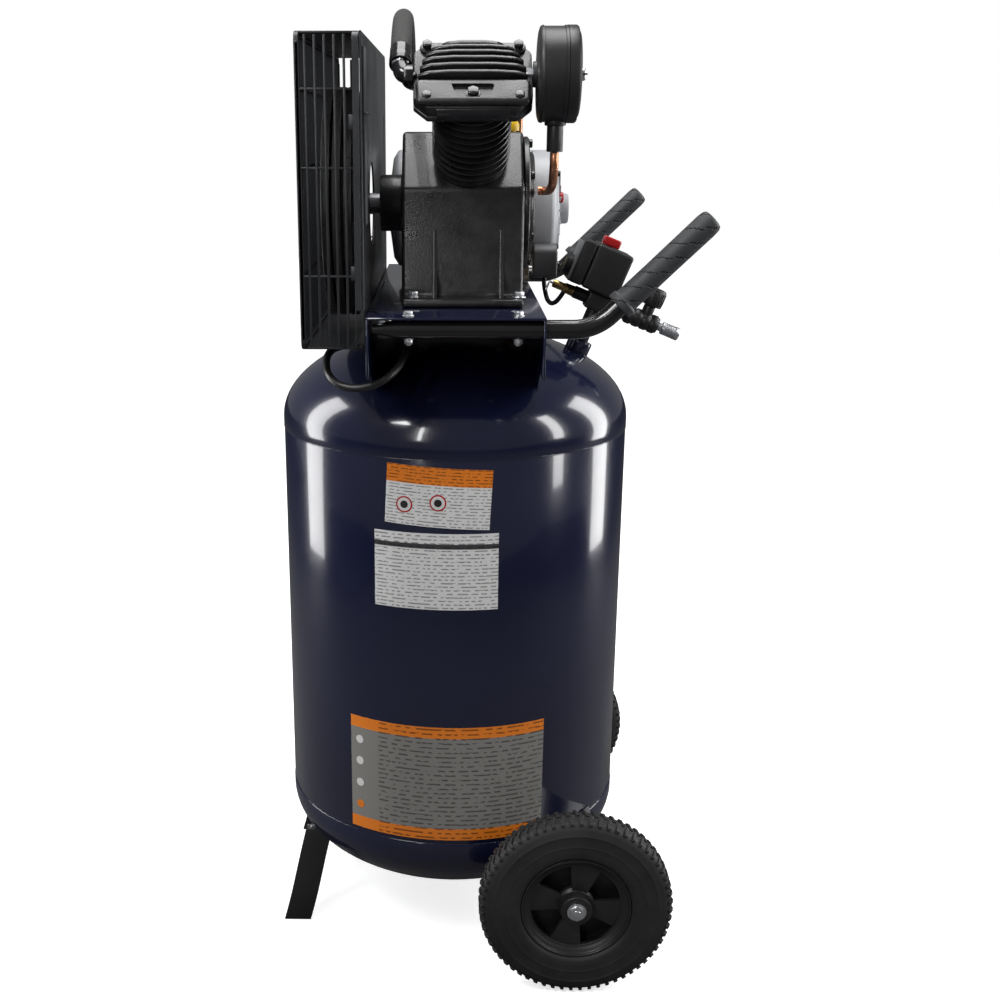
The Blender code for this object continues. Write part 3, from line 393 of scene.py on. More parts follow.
def surface(name, colour, drift, gloss, grain=(900.0, 0.1), metal=0.0, coat=0.0, scale=8.0):
    """A hard material on the shared surface group."""
    look, tree, shader = new_look(name)
    group = add_node(tree, "Group", node_tree=SURFACE)
    fill(tree, group, {"Colour": (*colour, 1), "Drift Colour": (*drift, 1), "Drift Scale": scale,
                       "Gloss Low": gloss[0], "Gloss High": gloss[1],
                       "Grain Scale": grain[0], "Grain Height": grain[1]})
    fill(tree, shader, {"Base Color": group.outputs["Colour"],
                        "Roughness": group.outputs["Roughness"],
                        "Normal": group.outputs["Normal"],
                        "Metallic": metal, "Coat Weight": coat, "Coat Roughness": 0.06})
    return look


NAVY = surface("tank paint", (0.006, 0.0078, 0.029), (0.008, 0.01, 0.036), (0.14, 0.22),
               (140.0, 0.1), coat=0.7, scale=5.0)
BLACK_PAINT = surface("black gloss paint", (0.008, 0.008, 0.009), (0.013, 0.013, 0.014),
                      (0.16, 0.26), (320.0, 0.08), coat=0.4)
CAST = surface("painted casting", (0.012, 0.012, 0.013), (0.024, 0.024, 0.025), (0.24, 0.42),
               (420.0, 0.55), coat=0.25, scale=30.0)
IRON = surface("machined iron", (0.36, 0.36, 0.37), (0.26, 0.26, 0.27), (0.28, 0.42),
               (700.0, 0.1), metal=1.0, scale=40.0)
ALLOY = surface("piston alloy", (0.74, 0.75, 0.76), (0.62, 0.63, 0.64), (0.25, 0.38),
                (800.0, 0.08), metal=1.0, scale=40.0)
ZINC = surface("zinc plate", (0.8, 0.81, 0.83), (0.62, 0.63, 0.65), (0.24, 0.42),
               (900.0, 0.08), metal=1.0, scale=60.0)
BRASS = surface("brass", (0.62, 0.43, 0.17), (0.46, 0.31, 0.12), (0.2, 0.36),
                (900.0, 0.08), metal=1.0, scale=60.0)
COPPER = surface("copper tube", (0.78, 0.36, 0.2), (0.56, 0.26, 0.15), (0.24, 0.4),
                 (700.0, 0.1), metal=1.0, scale=50.0)
MOTOR = surface("motor paint", (0.5, 0.51, 0.53), (0.43, 0.44, 0.46), (0.34, 0.46),
                (520.0, 0.18), coat=0.1, scale=14.0)
MOTOR_DARK = surface("cover paint", (0.17, 0.175, 0.185), (0.13, 0.135, 0.142), (0.38, 0.5),
                     (520.0, 0.18), scale=14.0)
TYRE = surface("tyre rubber", (0.013, 0.013, 0.0135), (0.022, 0.0215, 0.021), (0.52, 0.7),
               (380.0, 0.3), scale=22.0)
GRIP = surface("grip rubber", (0.036, 0.038, 0.042), (0.05, 0.052, 0.056), (0.5, 0.66),
               (600.0, 0.3), scale=24.0)
PLASTIC = surface("black plastic", (0.014, 0.014, 0.015), (0.02, 0.02, 0.021), (0.34, 0.46),
                  (760.0, 0.25), scale=18.0)
GUARD = surface("guard plastic", (0.02, 0.021, 0.023), (0.03, 0.031, 0.034), (0.3, 0.42),
                (640.0, 0.3), scale=12.0)
GUARD_EDGE = surface("guard back plate", (0.085, 0.088, 0.093), (0.11, 0.113, 0.118),
                     (0.36, 0.5), (640.0, 0.3), scale=12.0)
JACKET = surface("cable jacket", (0.011, 0.011, 0.012), (0.018, 0.018, 0.019), (0.3, 0.42),
                 (700.0, 0.2), scale=30.0)
RED = surface("red plastic", (0.52, 0.01, 0.012), (0.42, 0.008, 0.01), (0.22, 0.32),
              (700.0, 0.08), coat=0.3, scale=30.0)
YELLOW = surface("yellow plastic", (0.8, 0.5, 0.012), (0.7, 0.42, 0.01), (0.26, 0.36),
                 (700.0, 0.1), coat=0.2, scale=30.0)
ORANGE_INK = surface("orange ink", (0.8, 0.22, 0.02), (0.72, 0.19, 0.02), (0.3, 0.4),
                     (700.0, 0.05), scale=30.0)
WHITE_INK = surface("white ink", (0.76, 0.76, 0.75), (0.7, 0.7, 0.69), (0.3, 0.4),
                    (700.0, 0.05), scale=30.0)
BLACK_INK = surface("black ink", (0.02, 0.02, 0.02), (0.03, 0.03, 0.03), (0.3, 0.4),
                    (700.0, 0.05), scale=30.0)
CREAM = surface("cream bracket paint", (0.5, 0.46, 0.37), (0.42, 0.385, 0.3), (0.4, 0.52),
                (500.0, 0.2), scale=20.0)
GREY = surface("grey plate", (0.2, 0.205, 0.215), (0.16, 0.165, 0.172), (0.34, 0.46),
               (640.0, 0.18), scale=20.0)


def make_braid():
    """Crossing strands along the hose, from its own UV map."""
    look, tree, shader = new_look("hose braid")
    uv = add_node(tree, "UVMap", uv_map="run").outputs["UV"]
    heights = []
    for turn in (0.62, -0.62):
        mapping = add_node(tree, "Mapping", {"Rotation": (0, 0, turn), "Vector": uv})
        wave = add_node(tree, "TexWave", {"Scale": 150.0, "Distortion": 0.4,
                                          "Vector": mapping.outputs["Vector"]},
                        wave_type="BANDS")
        heights.append(wave.outputs["Fac"])
    top = add_node(tree, "Math", {0: heights[0], 1: heights[1]}, operation="MAXIMUM").outputs[0]
    ramp = add_node(tree, "ValToRGB", {"Fac": top})
    dark, light = ramp.color_ramp.elements
    dark.color = (0.004, 0.004, 0.004, 1)
    light.color = (0.052, 0.05, 0.048, 1)
    dark.position = 0.45
    bump = add_node(tree, "Bump", {"Strength": 0.8, "Distance": 0.0012, "Height": top})
    gloss = add_node(tree, "MapRange", {"To Min": 0.75, "To Max": 0.48, "Value": top})
    fill(tree, shader, {"Base Color": ramp.outputs["Color"], "Normal": bump.outputs["Normal"],
                        "Roughness": gloss.outputs["Result"]})
    return look


BRAID = make_braid()


def make_cut_grip():
    """Soft grip rubber with thin slanting cuts, from the grip's own UV map."""
    look = GRIP.copy()
    look.name = "cut grip rubber"
    tree = look.node_tree
    shader = tree.nodes["Principled BSDF"]
    group = shader.inputs["Base Color"].links[0].from_node
    uv = add_node(tree, "UVMap", uv_map="run").outputs["UV"]
    mapping = add_node(tree, "Mapping", {"Rotation": (0, 0, 0.95), "Vector": uv})
    wave = add_node(tree, "TexWave", {"Scale": 17.0, "Distortion": 1.2, "Detail Scale": 12.0,
                                      "Vector": mapping.outputs["Vector"]})
    line = add_node(tree, "MapRange", {"From Max": 0.05,
                                       "Value": wave.outputs["Fac"]}).outputs["Result"]
    darken = add_node(tree, "Mix", data_type="RGBA")
    fill(tree, darken, {6: (0.006, 0.006, 0.007, 1), 0: line, 7: group.outputs["Colour"]})
    bump = add_node(tree, "Bump", {"Strength": 0.7, "Distance": 0.001, "Height": line,
                                   "Normal": group.outputs["Normal"]})
    fill(tree, shader, {"Base Color": darken.outputs[2], "Normal": bump.outputs["Normal"]})
    return look


CUT_GRIP = make_cut_grip()


def printed(name, bands, rows=0.0, column=0.0):
    """A printed label: coloured bands up V, grey rows that stand for small print."""
    look, tree, shader = new_look(name)
    uv = add_node(tree, "UVMap", uv_map="label").outputs["UV"]
    split = add_node(tree, "SeparateXYZ", {"Vector": uv})
    ramp = add_node(tree, "ValToRGB", {"Fac": split.outputs["Y"]})
    ramp.color_ramp.interpolation = "CONSTANT"
    for index, (position, colour) in enumerate(bands):
        if index < 2:
            step = ramp.color_ramp.elements[index]
        else:
            step = ramp.color_ramp.elements.new(position)
        step.color = (*colour, 1)
        step.position = position
    colour = ramp.outputs["Color"]
    if rows:
        brick = add_node(tree, "TexBrick", {
            "Scale": rows, "Brick Width": 0.9, "Row Height": 0.16, "Mortar Size": 0.055,
            "Color1": (0.1, 0.1, 0.1, 1), "Color2": (0.22, 0.22, 0.22, 1),
            "Mortar": (1, 1, 1, 1), "Vector": uv})
        dots = add_node(tree, "TexNoise", {"Scale": rows * 9, "Detail": 0.0, "Vector": uv})
        broken = add_node(tree, "Math", {0: dots.outputs["Fac"], 1: 0.56},
                          operation="GREATER_THAN")
        ink = add_node(tree, "Mix", data_type="RGBA")
        fill(tree, ink, {0: broken.outputs[0], 6: brick.outputs["Color"], 7: (1, 1, 1, 1)})
        inside = add_node(tree, "Math", {0: split.outputs["X"], 1: column},
                          operation="GREATER_THAN")
        amount = add_node(tree, "Math", {0: inside.outputs[0], 1: 0.75}, operation="MULTIPLY")
        over = add_node(tree, "Mix", data_type="RGBA", blend_type="MULTIPLY")
        fill(tree, over, {0: amount.outputs[0], 6: colour, 7: ink.outputs[2]})
        colour = over.outputs[2]
    where = add_node(tree, "TexCoord").outputs["Object"]
    drift = add_node(tree, "TexNoise", {"Scale": 40.0, "Vector": where})
    gloss = add_node(tree, "MapRange", {"To Min": 0.24, "To Max": 0.4,
                                        "Value": drift.outputs["Fac"]})
    fill(tree, shader, {"Base Color": colour, "Roughness": gloss.outputs["Result"],
                        "Coat Weight": 0.3})
    return look


# ---------------------------------------------------------------- tank

def dome(radius, depth, equator, rings, sign):
    points = []
    for step in range(rings + 1):
        turn = 0.5 * math.pi * step / rings
        points.append((radius * math.cos(turn) if step < rings else 0.0,
                       equator + sign * depth * math.sin(turn)))
    return points


shell = spun([(0.23, 0.178), (TANK_R - 0.0004, 0.178), (TANK_R, 0.179), (TANK_R, 0.71),
              (TANK_R - 0.0004, 0.711), (0.23, 0.711)], WORLD, 128)
place(shell, "tank_wall", "frame", NAVY, ["tank_shell"], 25)
top = spun([(0.2315, 0.7074), (0.234, 0.7074), (DOME_R, 0.7079)]
           + dome(DOME_R, DOME_DEPTH, DOME_TOP_Z, 26, 1) + [(0, 0.833), (0.2315, 0.715)],
           WORLD, 128)
bung = rod(0.0165, -0.0735, -0.056, CONTROL, 32, 0.0012)
place(joined([top, bung]), "tank_top_dome", "frame", NAVY, ["upper_head"], 30)
low = spun([(0.2315, 0.1816), (0.234, 0.1816), (DOME_R, 0.1811)]
           + dome(DOME_R, DOME_DEPTH, DOME_LOW_Z, 26, -1) + [(0, 0.06), (0.2315, 0.175)],
           WORLD, 128)
place(low, "tank_bottom_dome", "frame", NAVY, ["lower_head"], 30)


def weld_bead(radius, height, name, rough):
    """A laid bead round the tank, with its ripples."""
    bpy.ops.mesh.primitive_torus_add(major_segments=360, minor_segments=8, major_radius=radius,
                                     minor_radius=rough, location=(0, 0, height))
    bead = bpy.context.object
    settle(bead)
    for vertex in bead.data.vertices:
        turn = math.atan2(vertex.co.y, vertex.co.x)
        vertex.co.z += 0.0003 * math.sin(90 * turn)
    return place(bead, name, "frame", NAVY, (), 60)


weld_bead(0.2332, 0.7068, "upper_seam_bead", 0.001)
weld_bead(0.2332, 0.1822, "lower_seam_bead", 0.001)


def label(name, left, right, bottom, top_edge, look, lean=0.0):
    """A printed sheet wrapped on the tank wall, with UV 0 to 1 across and up."""
    bpy.ops.mesh.primitive_grid_add(x_subdivisions=48, y_subdivisions=6, size=1)
    sheet = bpy.context.object
    sheet.data.uv_layers[0].name = "label"
    middle = math.radians((left + right) / 2)
    span = math.radians(right - left)
    tall = top_edge - bottom
    tilt = math.radians(lean)
    radius = TANK_R + PRINT_LIFT
    for vertex in sheet.data.vertices:
        u = vertex.co.x * span * radius
        v = vertex.co.y * tall
        across = u * math.cos(tilt) - v * math.sin(tilt)
        up = u * math.sin(tilt) + v * math.cos(tilt)
        turn = middle + across / radius
        vertex.co = (radius * math.sin(turn), -radius * math.cos(turn),
                     (bottom + top_edge) / 2 + up)
    applied(sheet, "SOLIDIFY", thickness=0.00022, offset=1.0)
    return place(sheet, name, "frame", look, (), 30)


ORANGE = (0.86, 0.23, 0.02)
PAPER = (0.78, 0.78, 0.77)
SILVER = (0.25, 0.243, 0.228)
DARK = (0.05, 0.05, 0.055)
low_print = printed("lower label print", [(0.0, ORANGE), (0.1, SILVER), (0.9, ORANGE)],
                    rows=4.0, column=0.16)
mid_print = printed("middle label print", [(0.0, PAPER), (0.8, DARK), (0.86, PAPER)], rows=3.4)
top_print = printed("top label print", [(0.0, PAPER), (0.7, ORANGE)], rows=3.0)
label("label_low", -35.5, 30.5, 0.189, 0.352, low_print)
label("label_mid", -25.5, 13.5, 0.514, 0.614, mid_print)
label("label_top", -21.5, 11, 0.622, 0.698, top_print, lean=-3.0)


def spot(name, turn, height, radius, look, lift):
    """A small round printed mark on the tank wall."""
    bpy.ops.mesh.primitive_circle_add(vertices=40, radius=radius, fill_type="TRIFAN")
    disc = bpy.context.object
    disc.data.uv_layers.new(name="label")
    around = math.radians(turn)
    reach = TANK_R + PRINT_LIFT + lift
    for vertex in disc.data.vertices:
        angle = around + vertex.co.x / reach
        vertex.co = (reach * math.sin(angle), -reach * math.cos(angle), height + vertex.co.y)
    applied(disc, "SOLIDIFY", thickness=0.0002, offset=1.0)
    return place(disc, name, "frame", look, (), 30)


for label_name, turn, height in (("left", -15.6, 0.65), ("middle", -5.2, 0.6535)):
    spot("mark_" + label_name, turn, height, 0.0105, RED, 0.0003)
    spot("field_" + label_name, turn, height, 0.0086, WHITE_INK, 0.0005)
    spot("sign_" + label_name, turn, height, 0.0048, BLACK_INK, 0.0007)
for index, height in enumerate((0.224, 0.256, 0.288, 0.319)):
    spot("icon_%d" % index, -32.0, height, 0.0058, WHITE_INK if index else ORANGE_INK, 0.0003)


# ---------------------------------------------------------------- wheels, feet and brackets

def make_tyre(where):
    middle_z = 0.2787
    lugs = 64
    profile = [(0.0718, 0.26), (0.076, 0.2562), (0.082, 0.2552), (0.09, 0.2553),
               (0.0915, 0.2546), (0.0935, 0.2553), (0.105, 0.2556), (0.1065, 0.2549),
               (0.1085, 0.2558), (0.115, 0.258), (0.12, 0.261), (0.1232, 0.2655),
               (0.1238, 0.272), (0.124, 0.2785), (0.1238, 0.285), (0.1232, 0.2915),
               (0.12, 0.2955), (0.115, 0.2985), (0.1085, 0.3007), (0.1065, 0.3016),
               (0.105, 0.301), (0.0935, 0.3014), (0.0915, 0.3019), (0.09, 0.3014),
               (0.082, 0.3014), (0.076, 0.3006), (0.0718, 0.2975)]
    body = spun(softened(profile, 0.0012, 2), WORLD, 120)
    blocks = []
    for side, start in ((-1, 0.0), (1, 0.5)):
        outline = [(-0.0021, 0.0), (0.0021, 0.0), (0.006, side * 0.0125),
                   (0.0052, side * 0.0185), (0.001, side * 0.0185), (0.0018, side * 0.0125)]
        if side < 0:
            outline = outline[::-1]
        tread = prism(outline, 0.1225, 0.1262, WORLD, 0.0004, 1)
        turn = Matrix.Rotation(2 * math.pi * start / lugs, 4, "Z")
        upright = Matrix(((0, 0, 1, 0), (1, 0, 0, 0), (0, 1, 0, middle_z), (0, 0, 0, 1)))
        tread.data.transform(turn @ upright)
        for vertex in tread.data.vertices:
            drop = max(0.0, abs(vertex.co.z - middle_z) - 0.0125)
            reach = math.hypot(vertex.co.x, vertex.co.y)
            scale = (reach - drop * 0.55) / reach
            vertex.co.x *= scale
            vertex.co.y *= scale
        blocks.append(ring_of(tread, lugs, WORLD))
    tyre = joined([body] + blocks)
    tyre.data.transform(where)
    return tyre


def make_rim(where, side):
    hub = spun([(0.0064, 0.244), (0.02, 0.244), (0.0212, 0.2455), (0.0212, 0.27),
                (0.025, 0.279), (0.025, 0.286), (0.0212, 0.289), (0.0205, 0.303),
                (0.019, 0.3038), (0.0064, 0.3038)], WORLD, 64, 0.0012)
    well = spun([(0.0714, 0.259), (0.0714, 0.2983), (0.069, 0.2984), (0.0676, 0.295),
                 (0.064, 0.293), (0.061, 0.2905), (0.0585, 0.29), (0.0585, 0.283),
                 (0.063, 0.282), (0.066, 0.278), (0.068, 0.264), (0.069, 0.259)],
                WORLD, 96, 0.001)
    arm = prism(softened([(0.019, -0.0095), (0.06, -0.0215), (0.0612, 0.0),
                          (0.06, 0.0215), (0.019, 0.0095)], 0.0015), 0.2815, 0.2885, WORLD,
                0.0009, 2)
    arm.data.transform(Matrix.Rotation(math.radians(12 * side), 4, "Z"))
    # A closed plastic disc behind the spoke openings. It stands as the rim's back web, and it is
    # also a dark sheet that puts painted shade where the floor would otherwise show through the
    # openings.
    shade_backing_disc = spun([(0.02, 0.264), (0.0685, 0.264), (0.0685, 0.2665), (0.02, 0.2665)],
                  WORLD, 96)
    rim = joined([hub, well, shade_backing_disc, ring_of(arm, 4, WORLD)])
    rim.data.transform(where)
    return rim


def bent_strap(side):
    stations = [(-0.19, -0.0985, 0.135), (-0.2, -0.112, 0.093), (-0.2104, -0.126, 0.0465),
                (-0.2165, -0.1297, 0.022), (-0.2224, -0.132, 0.0003)]
    path = smooth_path(stations, 4)
    points = []
    for spot_at in path:
        for dx, dy in ((-0.019, 0.0003), (0.019, 0.0003), (0.019, 0.0047), (-0.019, 0.0047)):
            points.append((spot_at.x + dx, side * -(spot_at.y + dy), spot_at.z))
    count = len(path)
    faces = [(3, 2, 1, 0), tuple(4 * (count - 1) + k for k in range(4))]
    for row in range(count - 1):
        for k in range(4):
            a = 4 * row + k
            b = 4 * row + (k + 1) % 4
            faces.append((a, b, b + 4, a + 4))
    strap = drawn("strap", points, [], faces)
    edit(strap)
    bpy.ops.mesh.normals_make_consistent(inside=False)
    leave_edit()
    return rounded(strap, 0.0009, 2, 50)


for name, side in (("near", -1), ("far", 1)):
    out = along((AXLE_X, 0, WHEEL_R), (0, side, 0))
    place(make_tyre(out), "tread_tyre_" + name, "wheel_" + name, TYRE,
          ["tyre_" + name], 35)
    place(make_rim(out, side), "spoked_rim_" + name, "wheel_" + name,
          PLASTIC, ["rim_" + name])
    stub = spun([(0, 0.2292), (0.01, 0.2292), (0.0104, 0.23), (0.0104, 0.2385),
                 (0.0059, 0.2387), (0.0059, 0.305), (0, 0.305)], out, 32)
    washer = rod(0.0125, 0.3042, 0.3055, out, 40, 0.0004)
    nut = rod(0.0105, 0.3055, 0.3105, out, 6, 0.0009)
    thread = rod(0.0055, 0.305, 0.3122, out, 24, 0.001)
    place(joined([stub, washer, nut, thread]), "axle_hardware_" + name, "frame",
          ZINC, ["axle_bolt_" + name])
    place(bent_strap(side), "foot_strap_" + name, "frame", BLACK_PAINT,
          ["front_foot_" + name])


# ---------------------------------------------------------------- saddle, handles and grips

def add_turned_uv(obj, radius):
    """UV for a piece turned about Z: U the length round it and V the height, in metres."""
    layer = obj.data.uv_layers.new(name="run")
    for face in obj.data.polygons:
        turns = []
        for loop in face.loop_indices:
            co = obj.data.vertices[obj.data.loops[loop].vertex_index].co
            turns.append((loop, math.atan2(co.y, co.x), co.z))
        low_turn = min(turn for _, turn, _ in turns)
        for loop, turn, height in turns:
            if turn - low_turn > math.pi:
                turn -= 2 * math.pi
            layer.data[loop].uv = (turn * radius, height)


def dome_core():
    """The tank's top dome, used to trim what is welded to it."""
    return spun([(DOME_R, 0.6)] + dome(DOME_R, DOME_DEPTH, DOME_TOP_Z, 16, 1)
                + [(0, 0.6)], WORLD, 64)


plate = block((-0.1028, -0.3098, 0.8873), (0.1008, 0.3098, 0.8903), edge=0.0009)
flange = [(-0.3098, 0.888), (-0.3098, 0.823), (-0.3065, 0.8198), (-0.26, 0.8197),
          (-0.202, 0.7865), (0.202, 0.7865), (0.26, 0.8197), (0.3065, 0.8198),
          (0.3098, 0.823), (0.3098, 0.888)]
sides = []
for start in (-0.1028, 0.0977):
    side_plate = prism(flange, start, start + 0.0031, SIDEWAYS, 0.0007)
    cut(side_plate, dome_core())
    sides.append(side_plate)
bore = joined([rod(0.0113, 0.09, 0.11, along_x(0, side * HANDLE_Y, HANDLE_Z), 40)
               for side in (-1, 1)])
cut(sides[1], bore)
place(joined([plate] + sides), "saddle_channel", "frame", NAVY, ["saddle"])

bend = []
corner_x = GRIP_X - (GRIP_Z - HANDLE_Z) / math.tan(HANDLE_TILT)
tangent = HANDLE_BEND * math.tan(HANDLE_TILT / 2)
for step in range(13):
    turn = HANDLE_TILT * step / 12
    bend.append((corner_x - tangent + HANDLE_BEND * math.sin(turn),
                 HANDLE_Z + HANDLE_BEND * (1 - math.cos(turn))))
tip = (GRIP_X + 0.1 * math.cos(HANDLE_TILT), GRIP_Z + 0.1 * math.sin(HANDLE_TILT))
for name, side in (("near", -1), ("far", 1)):
    y = side * HANDLE_Y
    path = [Vector((-0.0955, y, HANDLE_Z)), Vector((-0.07, y, HANDLE_Z))]
    path += [Vector((x, y, z)) for x, z in bend] + [Vector((tip[0], y, tip[1]))]
    pipe = tube(path, 0.01105, 10)
    for vertex in pipe.data.vertices:
        if vertex.co.x < -0.068:
            press = min(1.0, (-0.068 - vertex.co.x) / 0.02)
            vertex.co.z += press * 0.55 * (HANDLE_Z - vertex.co.z)
    place(pipe, "handle_" + name, "frame", BLACK_PAINT, ["handle_tube_" + name])
    line = along((GRIP_X, y, GRIP_Z), (math.cos(HANDLE_TILT), 0, math.sin(HANDLE_TILT)))
    profile = [(0.0113, 0.0003), (0.0166, 0.0003), (0.017, 0.002), (0.0168, 0.0085),
               (0.0158, 0.01), (0.0145, 0.0106), (0.0143, 0.018), (0.0141, 0.07),
               (0.0143, 0.129), (0.0136, 0.136), (0.0118, 0.1392), (0.008, 0.1402),
               (0, 0.1403), (0, 0.134), (0.0113, 0.134)]
    grip = spun(softened(profile, 0.0012, 2), WORLD, 72)
    add_turned_uv(grip, 0.0143)
    grip.data.transform(line)
    place(grip, "spiral_grip_" + name, "frame", CUT_GRIP, ["grip_" + name], 45)
    fixings = []
    for x in (-0.055, 0.07):
        fixings.append(bolt((x, y, 0.8905), (0, 0, 1), 0.01, 0.0044, 0.0135))
        fixings.append(bolt((x, y, 0.865), (0, 0, -1), 0.01, 0.005, 0.013))
        fixings.append(rod(0.003, 0.857, 0.887, along((x, y, 0), (0, 0, 1)), 20, 0.0004))
    fixings.append(bolt((-0.0862, y, 0.8812), (0, 0, 1), 0.01, 0.004, 0.013))
    place(joined(fixings), "handle_bolts_" + name, "frame", ZINC)


# ---------------------------------------------------------------- pump

def cylinder_frame(label, x=None):
    """Z runs up a cylinder, X along the crank."""
    side = -1 if label == "near" else 1
    up = Vector((0, side * HALF, HALF))
    along_crank = Vector((1, 0, 0))
    turn = Matrix((along_crank, up.cross(along_crank), up)).transposed().to_4x4()
    spot_x = CYLINDER_X[label] if x is None else x
    return Matrix.Translation((spot_x, PUMP_Y, CRANK_Z)) @ turn


deck = 0.074 * HALF
reach = 0.045 * HALF
foot_z = SADDLE_TOP + 0.0004
right = [(0.113, foot_z), (0.113, foot_z + 0.0095), (0.09, foot_z + 0.011),
         (0.084, foot_z + 0.02), (deck + reach, CRANK_Z + deck - reach),
         (deck - reach, CRANK_Z + deck + reach)]
outline = [(PUMP_Y + y, z) for y, z in right] + [(PUMP_Y - y, z) for y, z in right[::-1]]
case = prism(softened(outline, 0.006, 3), -0.0655, 0.0795, SIDEWAYS, 0.0065, 4)
hollow = rod(0.058, -0.05, 0.07, along_x(0, PUMP_Y, CRANK_Z), 48)
cut(case, hollow)
snout = spun([(0.013, -0.0935), (0.033, -0.0935), (0.0338, -0.092), (0.0338, -0.068),
              (0.042, -0.064), (0.013, -0.064)], along_x(0, PUMP_Y, CRANK_Z), 64)
parts = [case, snout]
for y_side in (-1, 1):
    for x in (-0.033, 0.046):
        web = prism([(0.0, 0.0), (0.024, 0.0), (0.006, 0.03), (0.0035, 0.078), (0.0, 0.08)],
                    -0.0026, 0.0026, WORLD, 0.0011, 2)
        flip = Matrix(((0, 0, 1, 0.007 + x), (y_side, 0, 0, PUMP_Y + y_side * 0.081),
                       (0, 1, 0, foot_z + 0.01), (0, 0, 0, 1)))
        parts.append(turned(web, flip))
place(joined(parts), "crankcase_casting", "frame", CAST, ["crankcase"])

cover = spun([(0, 0.0804), (0.0785, 0.0804), (0.0788, 0.0812), (0.0788, 0.0852),
              (0.0775, 0.0864), (0.064, 0.0866), (0.062, 0.0874), (0.06, 0.0918),
              (0.058, 0.0932), (0.02, 0.0938), (0, 0.0938)], along_x(0, PUMP_Y, CRANK_Z), 96)
fixings = []
for step in range(6):
    turn = math.radians(30 + 60 * step)
    spot_at = (0.0866, PUMP_Y + 0.0705 * math.cos(turn), CRANK_Z + 0.0705 * math.sin(turn))
    fixings.append(bolt(spot_at, (1, 0, 0), 0.009, 0.004, 0.0115))
place(cover, "end_cover", "frame", CAST, ["bearing_cover"])
place(joined(fixings), "end_cover_bolts", "frame", BLACK_PAINT)

fixings = []
for x in (-0.0515, 0.0741):
    for y in (-0.212, -0.018):
        fixings.append(bolt((x, y, foot_z + 0.0105), (0, 0, 1), 0.0115, 0.006, 0.0165))
        fixings.append(bolt((x, y, 0.8873), (0, 0, -1), 0.0115, 0.006, 0.0165))
place(joined(fixings), "pump_foot_bolts", "frame", ZINC)

for name in ("near", "far"):
    up = cylinder_frame(name)
    profile = [(0.0268, 0.0745), (0.0425, 0.0745), (0.0435, 0.0755), (0.0435, 0.082),
               (0.0385, 0.0835)]
    for fin in range(10):
        z = 0.085 + fin * 0.0097
        profile += [(0.0385, z), (0.0452, z + 0.001), (0.0455, z + 0.0016),
                    (0.0452, z + 0.0024), (0.0385, z + 0.0034), (0.0382, z + 0.006)]
    profile += [(0.0385, 0.181), (0.044, 0.182), (0.044, 0.1834), (0.0268, 0.1834)]
    place(spun(profile, up, 80), "finned_barrel_" + name, "frame", CAST,
          ["cylinder_" + name], 30)

    slab = softened([(-0.0653, -0.034), (-0.05, -0.0498), (0.05, -0.0498), (0.0653, -0.034),
                     (0.0653, 0.034), (0.05, 0.0498), (-0.05, 0.0498), (-0.0653, 0.034)], 0.004)
    head = [prism(slab, 0.184, 0.1905, up, 0.001), prism(slab, 0.1915, 0.205, up, 0.0016)]
    gasket = prism([(x * 0.985, y * 0.98) for x, y in slab], 0.1903, 0.1917, up)
    upper = 1 if name == "near" else -1
    stand = Matrix(((1, 0, 0, 0), (0, 0, -1, 0), (0, 1, 0, 0), (0, 0, 0, 1)))
    lengths = (0.035, 0.046, 0.052, 0.056, 0.0585, 0.06)
    for rib, length in enumerate(lengths):
        y = upper * (0.045 - rib * 0.0105)
        height = (0.2105, 0.215, 0.2172, 0.2183, 0.2183, 0.2176)[rib]
        arch = [(-length, 0.204), (-length, height - 0.006), (-length * 0.8, height - 0.0018),
                (-length * 0.4, height), (length * 0.4, height),
                (length * 0.8, height - 0.0018), (length, height - 0.006), (length, 0.204)]
        fin_plate = prism(softened(arch, 0.003, 3), -y - 0.0023, -y + 0.0023, WORLD, 0.0012, 2)
        fin_plate.data.transform(up @ stand)
        head.append(fin_plate)
    brow = prism(softened([(-0.0615, -0.048), (0.0615, -0.048), (0.063, -0.02),
                           (0.06, -0.014), (-0.06, -0.014), (-0.063, -0.02)], 0.006, 4),
                 0.204, 0.213, WORLD, 0.004, 4)
    pocket = prism(softened([(-0.018, -0.042), (0.018, -0.042), (0.024, -0.022),
                             (-0.024, -0.022)], 0.005, 4), 0.2085, 0.22, WORLD)
    cut(brow, pocket)
    pad = block((-0.04, -0.0512, 0.187), (0.04, -0.048, 0.203), WORLD, 0.0012)
    for piece in (brow, pad):
        if upper < 0:
            piece.data.transform(Matrix.Rotation(math.pi, 4, "Z"))
        piece.data.transform(up)
        head.append(piece)
    for x in (-0.0545, 0.0545):
        for y in (-0.0385, 0.0385):
            boss = rod(0.0082, 0.2035, 0.2085, up @ Matrix.Translation((x * 0.93, y, 0)), 32, 0.001)
            head.append(boss)
    place(joined(head), "ribbed_head_" + name, "frame", CAST, ["head_" + name])
    place(gasket, "gasket_" + name, "frame", GREY)
    bolts = []
    for x in (-0.0507, 0.0507):
        for y in (-0.0385, 0.0385):
            spot_at = up @ Vector((x, y, 0.2085))
            bolts.append(bolt(spot_at, up.to_3x3() @ Vector((0, 0, 1)), 0.01, 0.005, 0.0135))
    bolts.append(bolt(up @ Vector((0, -upper * 0.032, 0.208)), up.to_3x3() @ Vector((0, 0, 1)),
                      0.012, 0.0045, 0.016))
    place(joined(bolts), "head_bolts_" + name, "frame", BLACK_PAINT)

cap = spun([(0, 0.1026), (0, 0.03), (0.0021, 0.03), (0.0021, 0.078), (0.0056, 0.078),
            (0.0056, 0.0904), (0.0094, 0.0904), (0.0095, 0.0912), (0.0095, 0.098),
            (0.0085, 0.0995), (0.007, 0.1026)], along((0.066, PUMP_Y, 1.0), (0, 0, 1)), 48)
place(cap, "oil_filler", "oil_cap", YELLOW, ["oil_cap"])


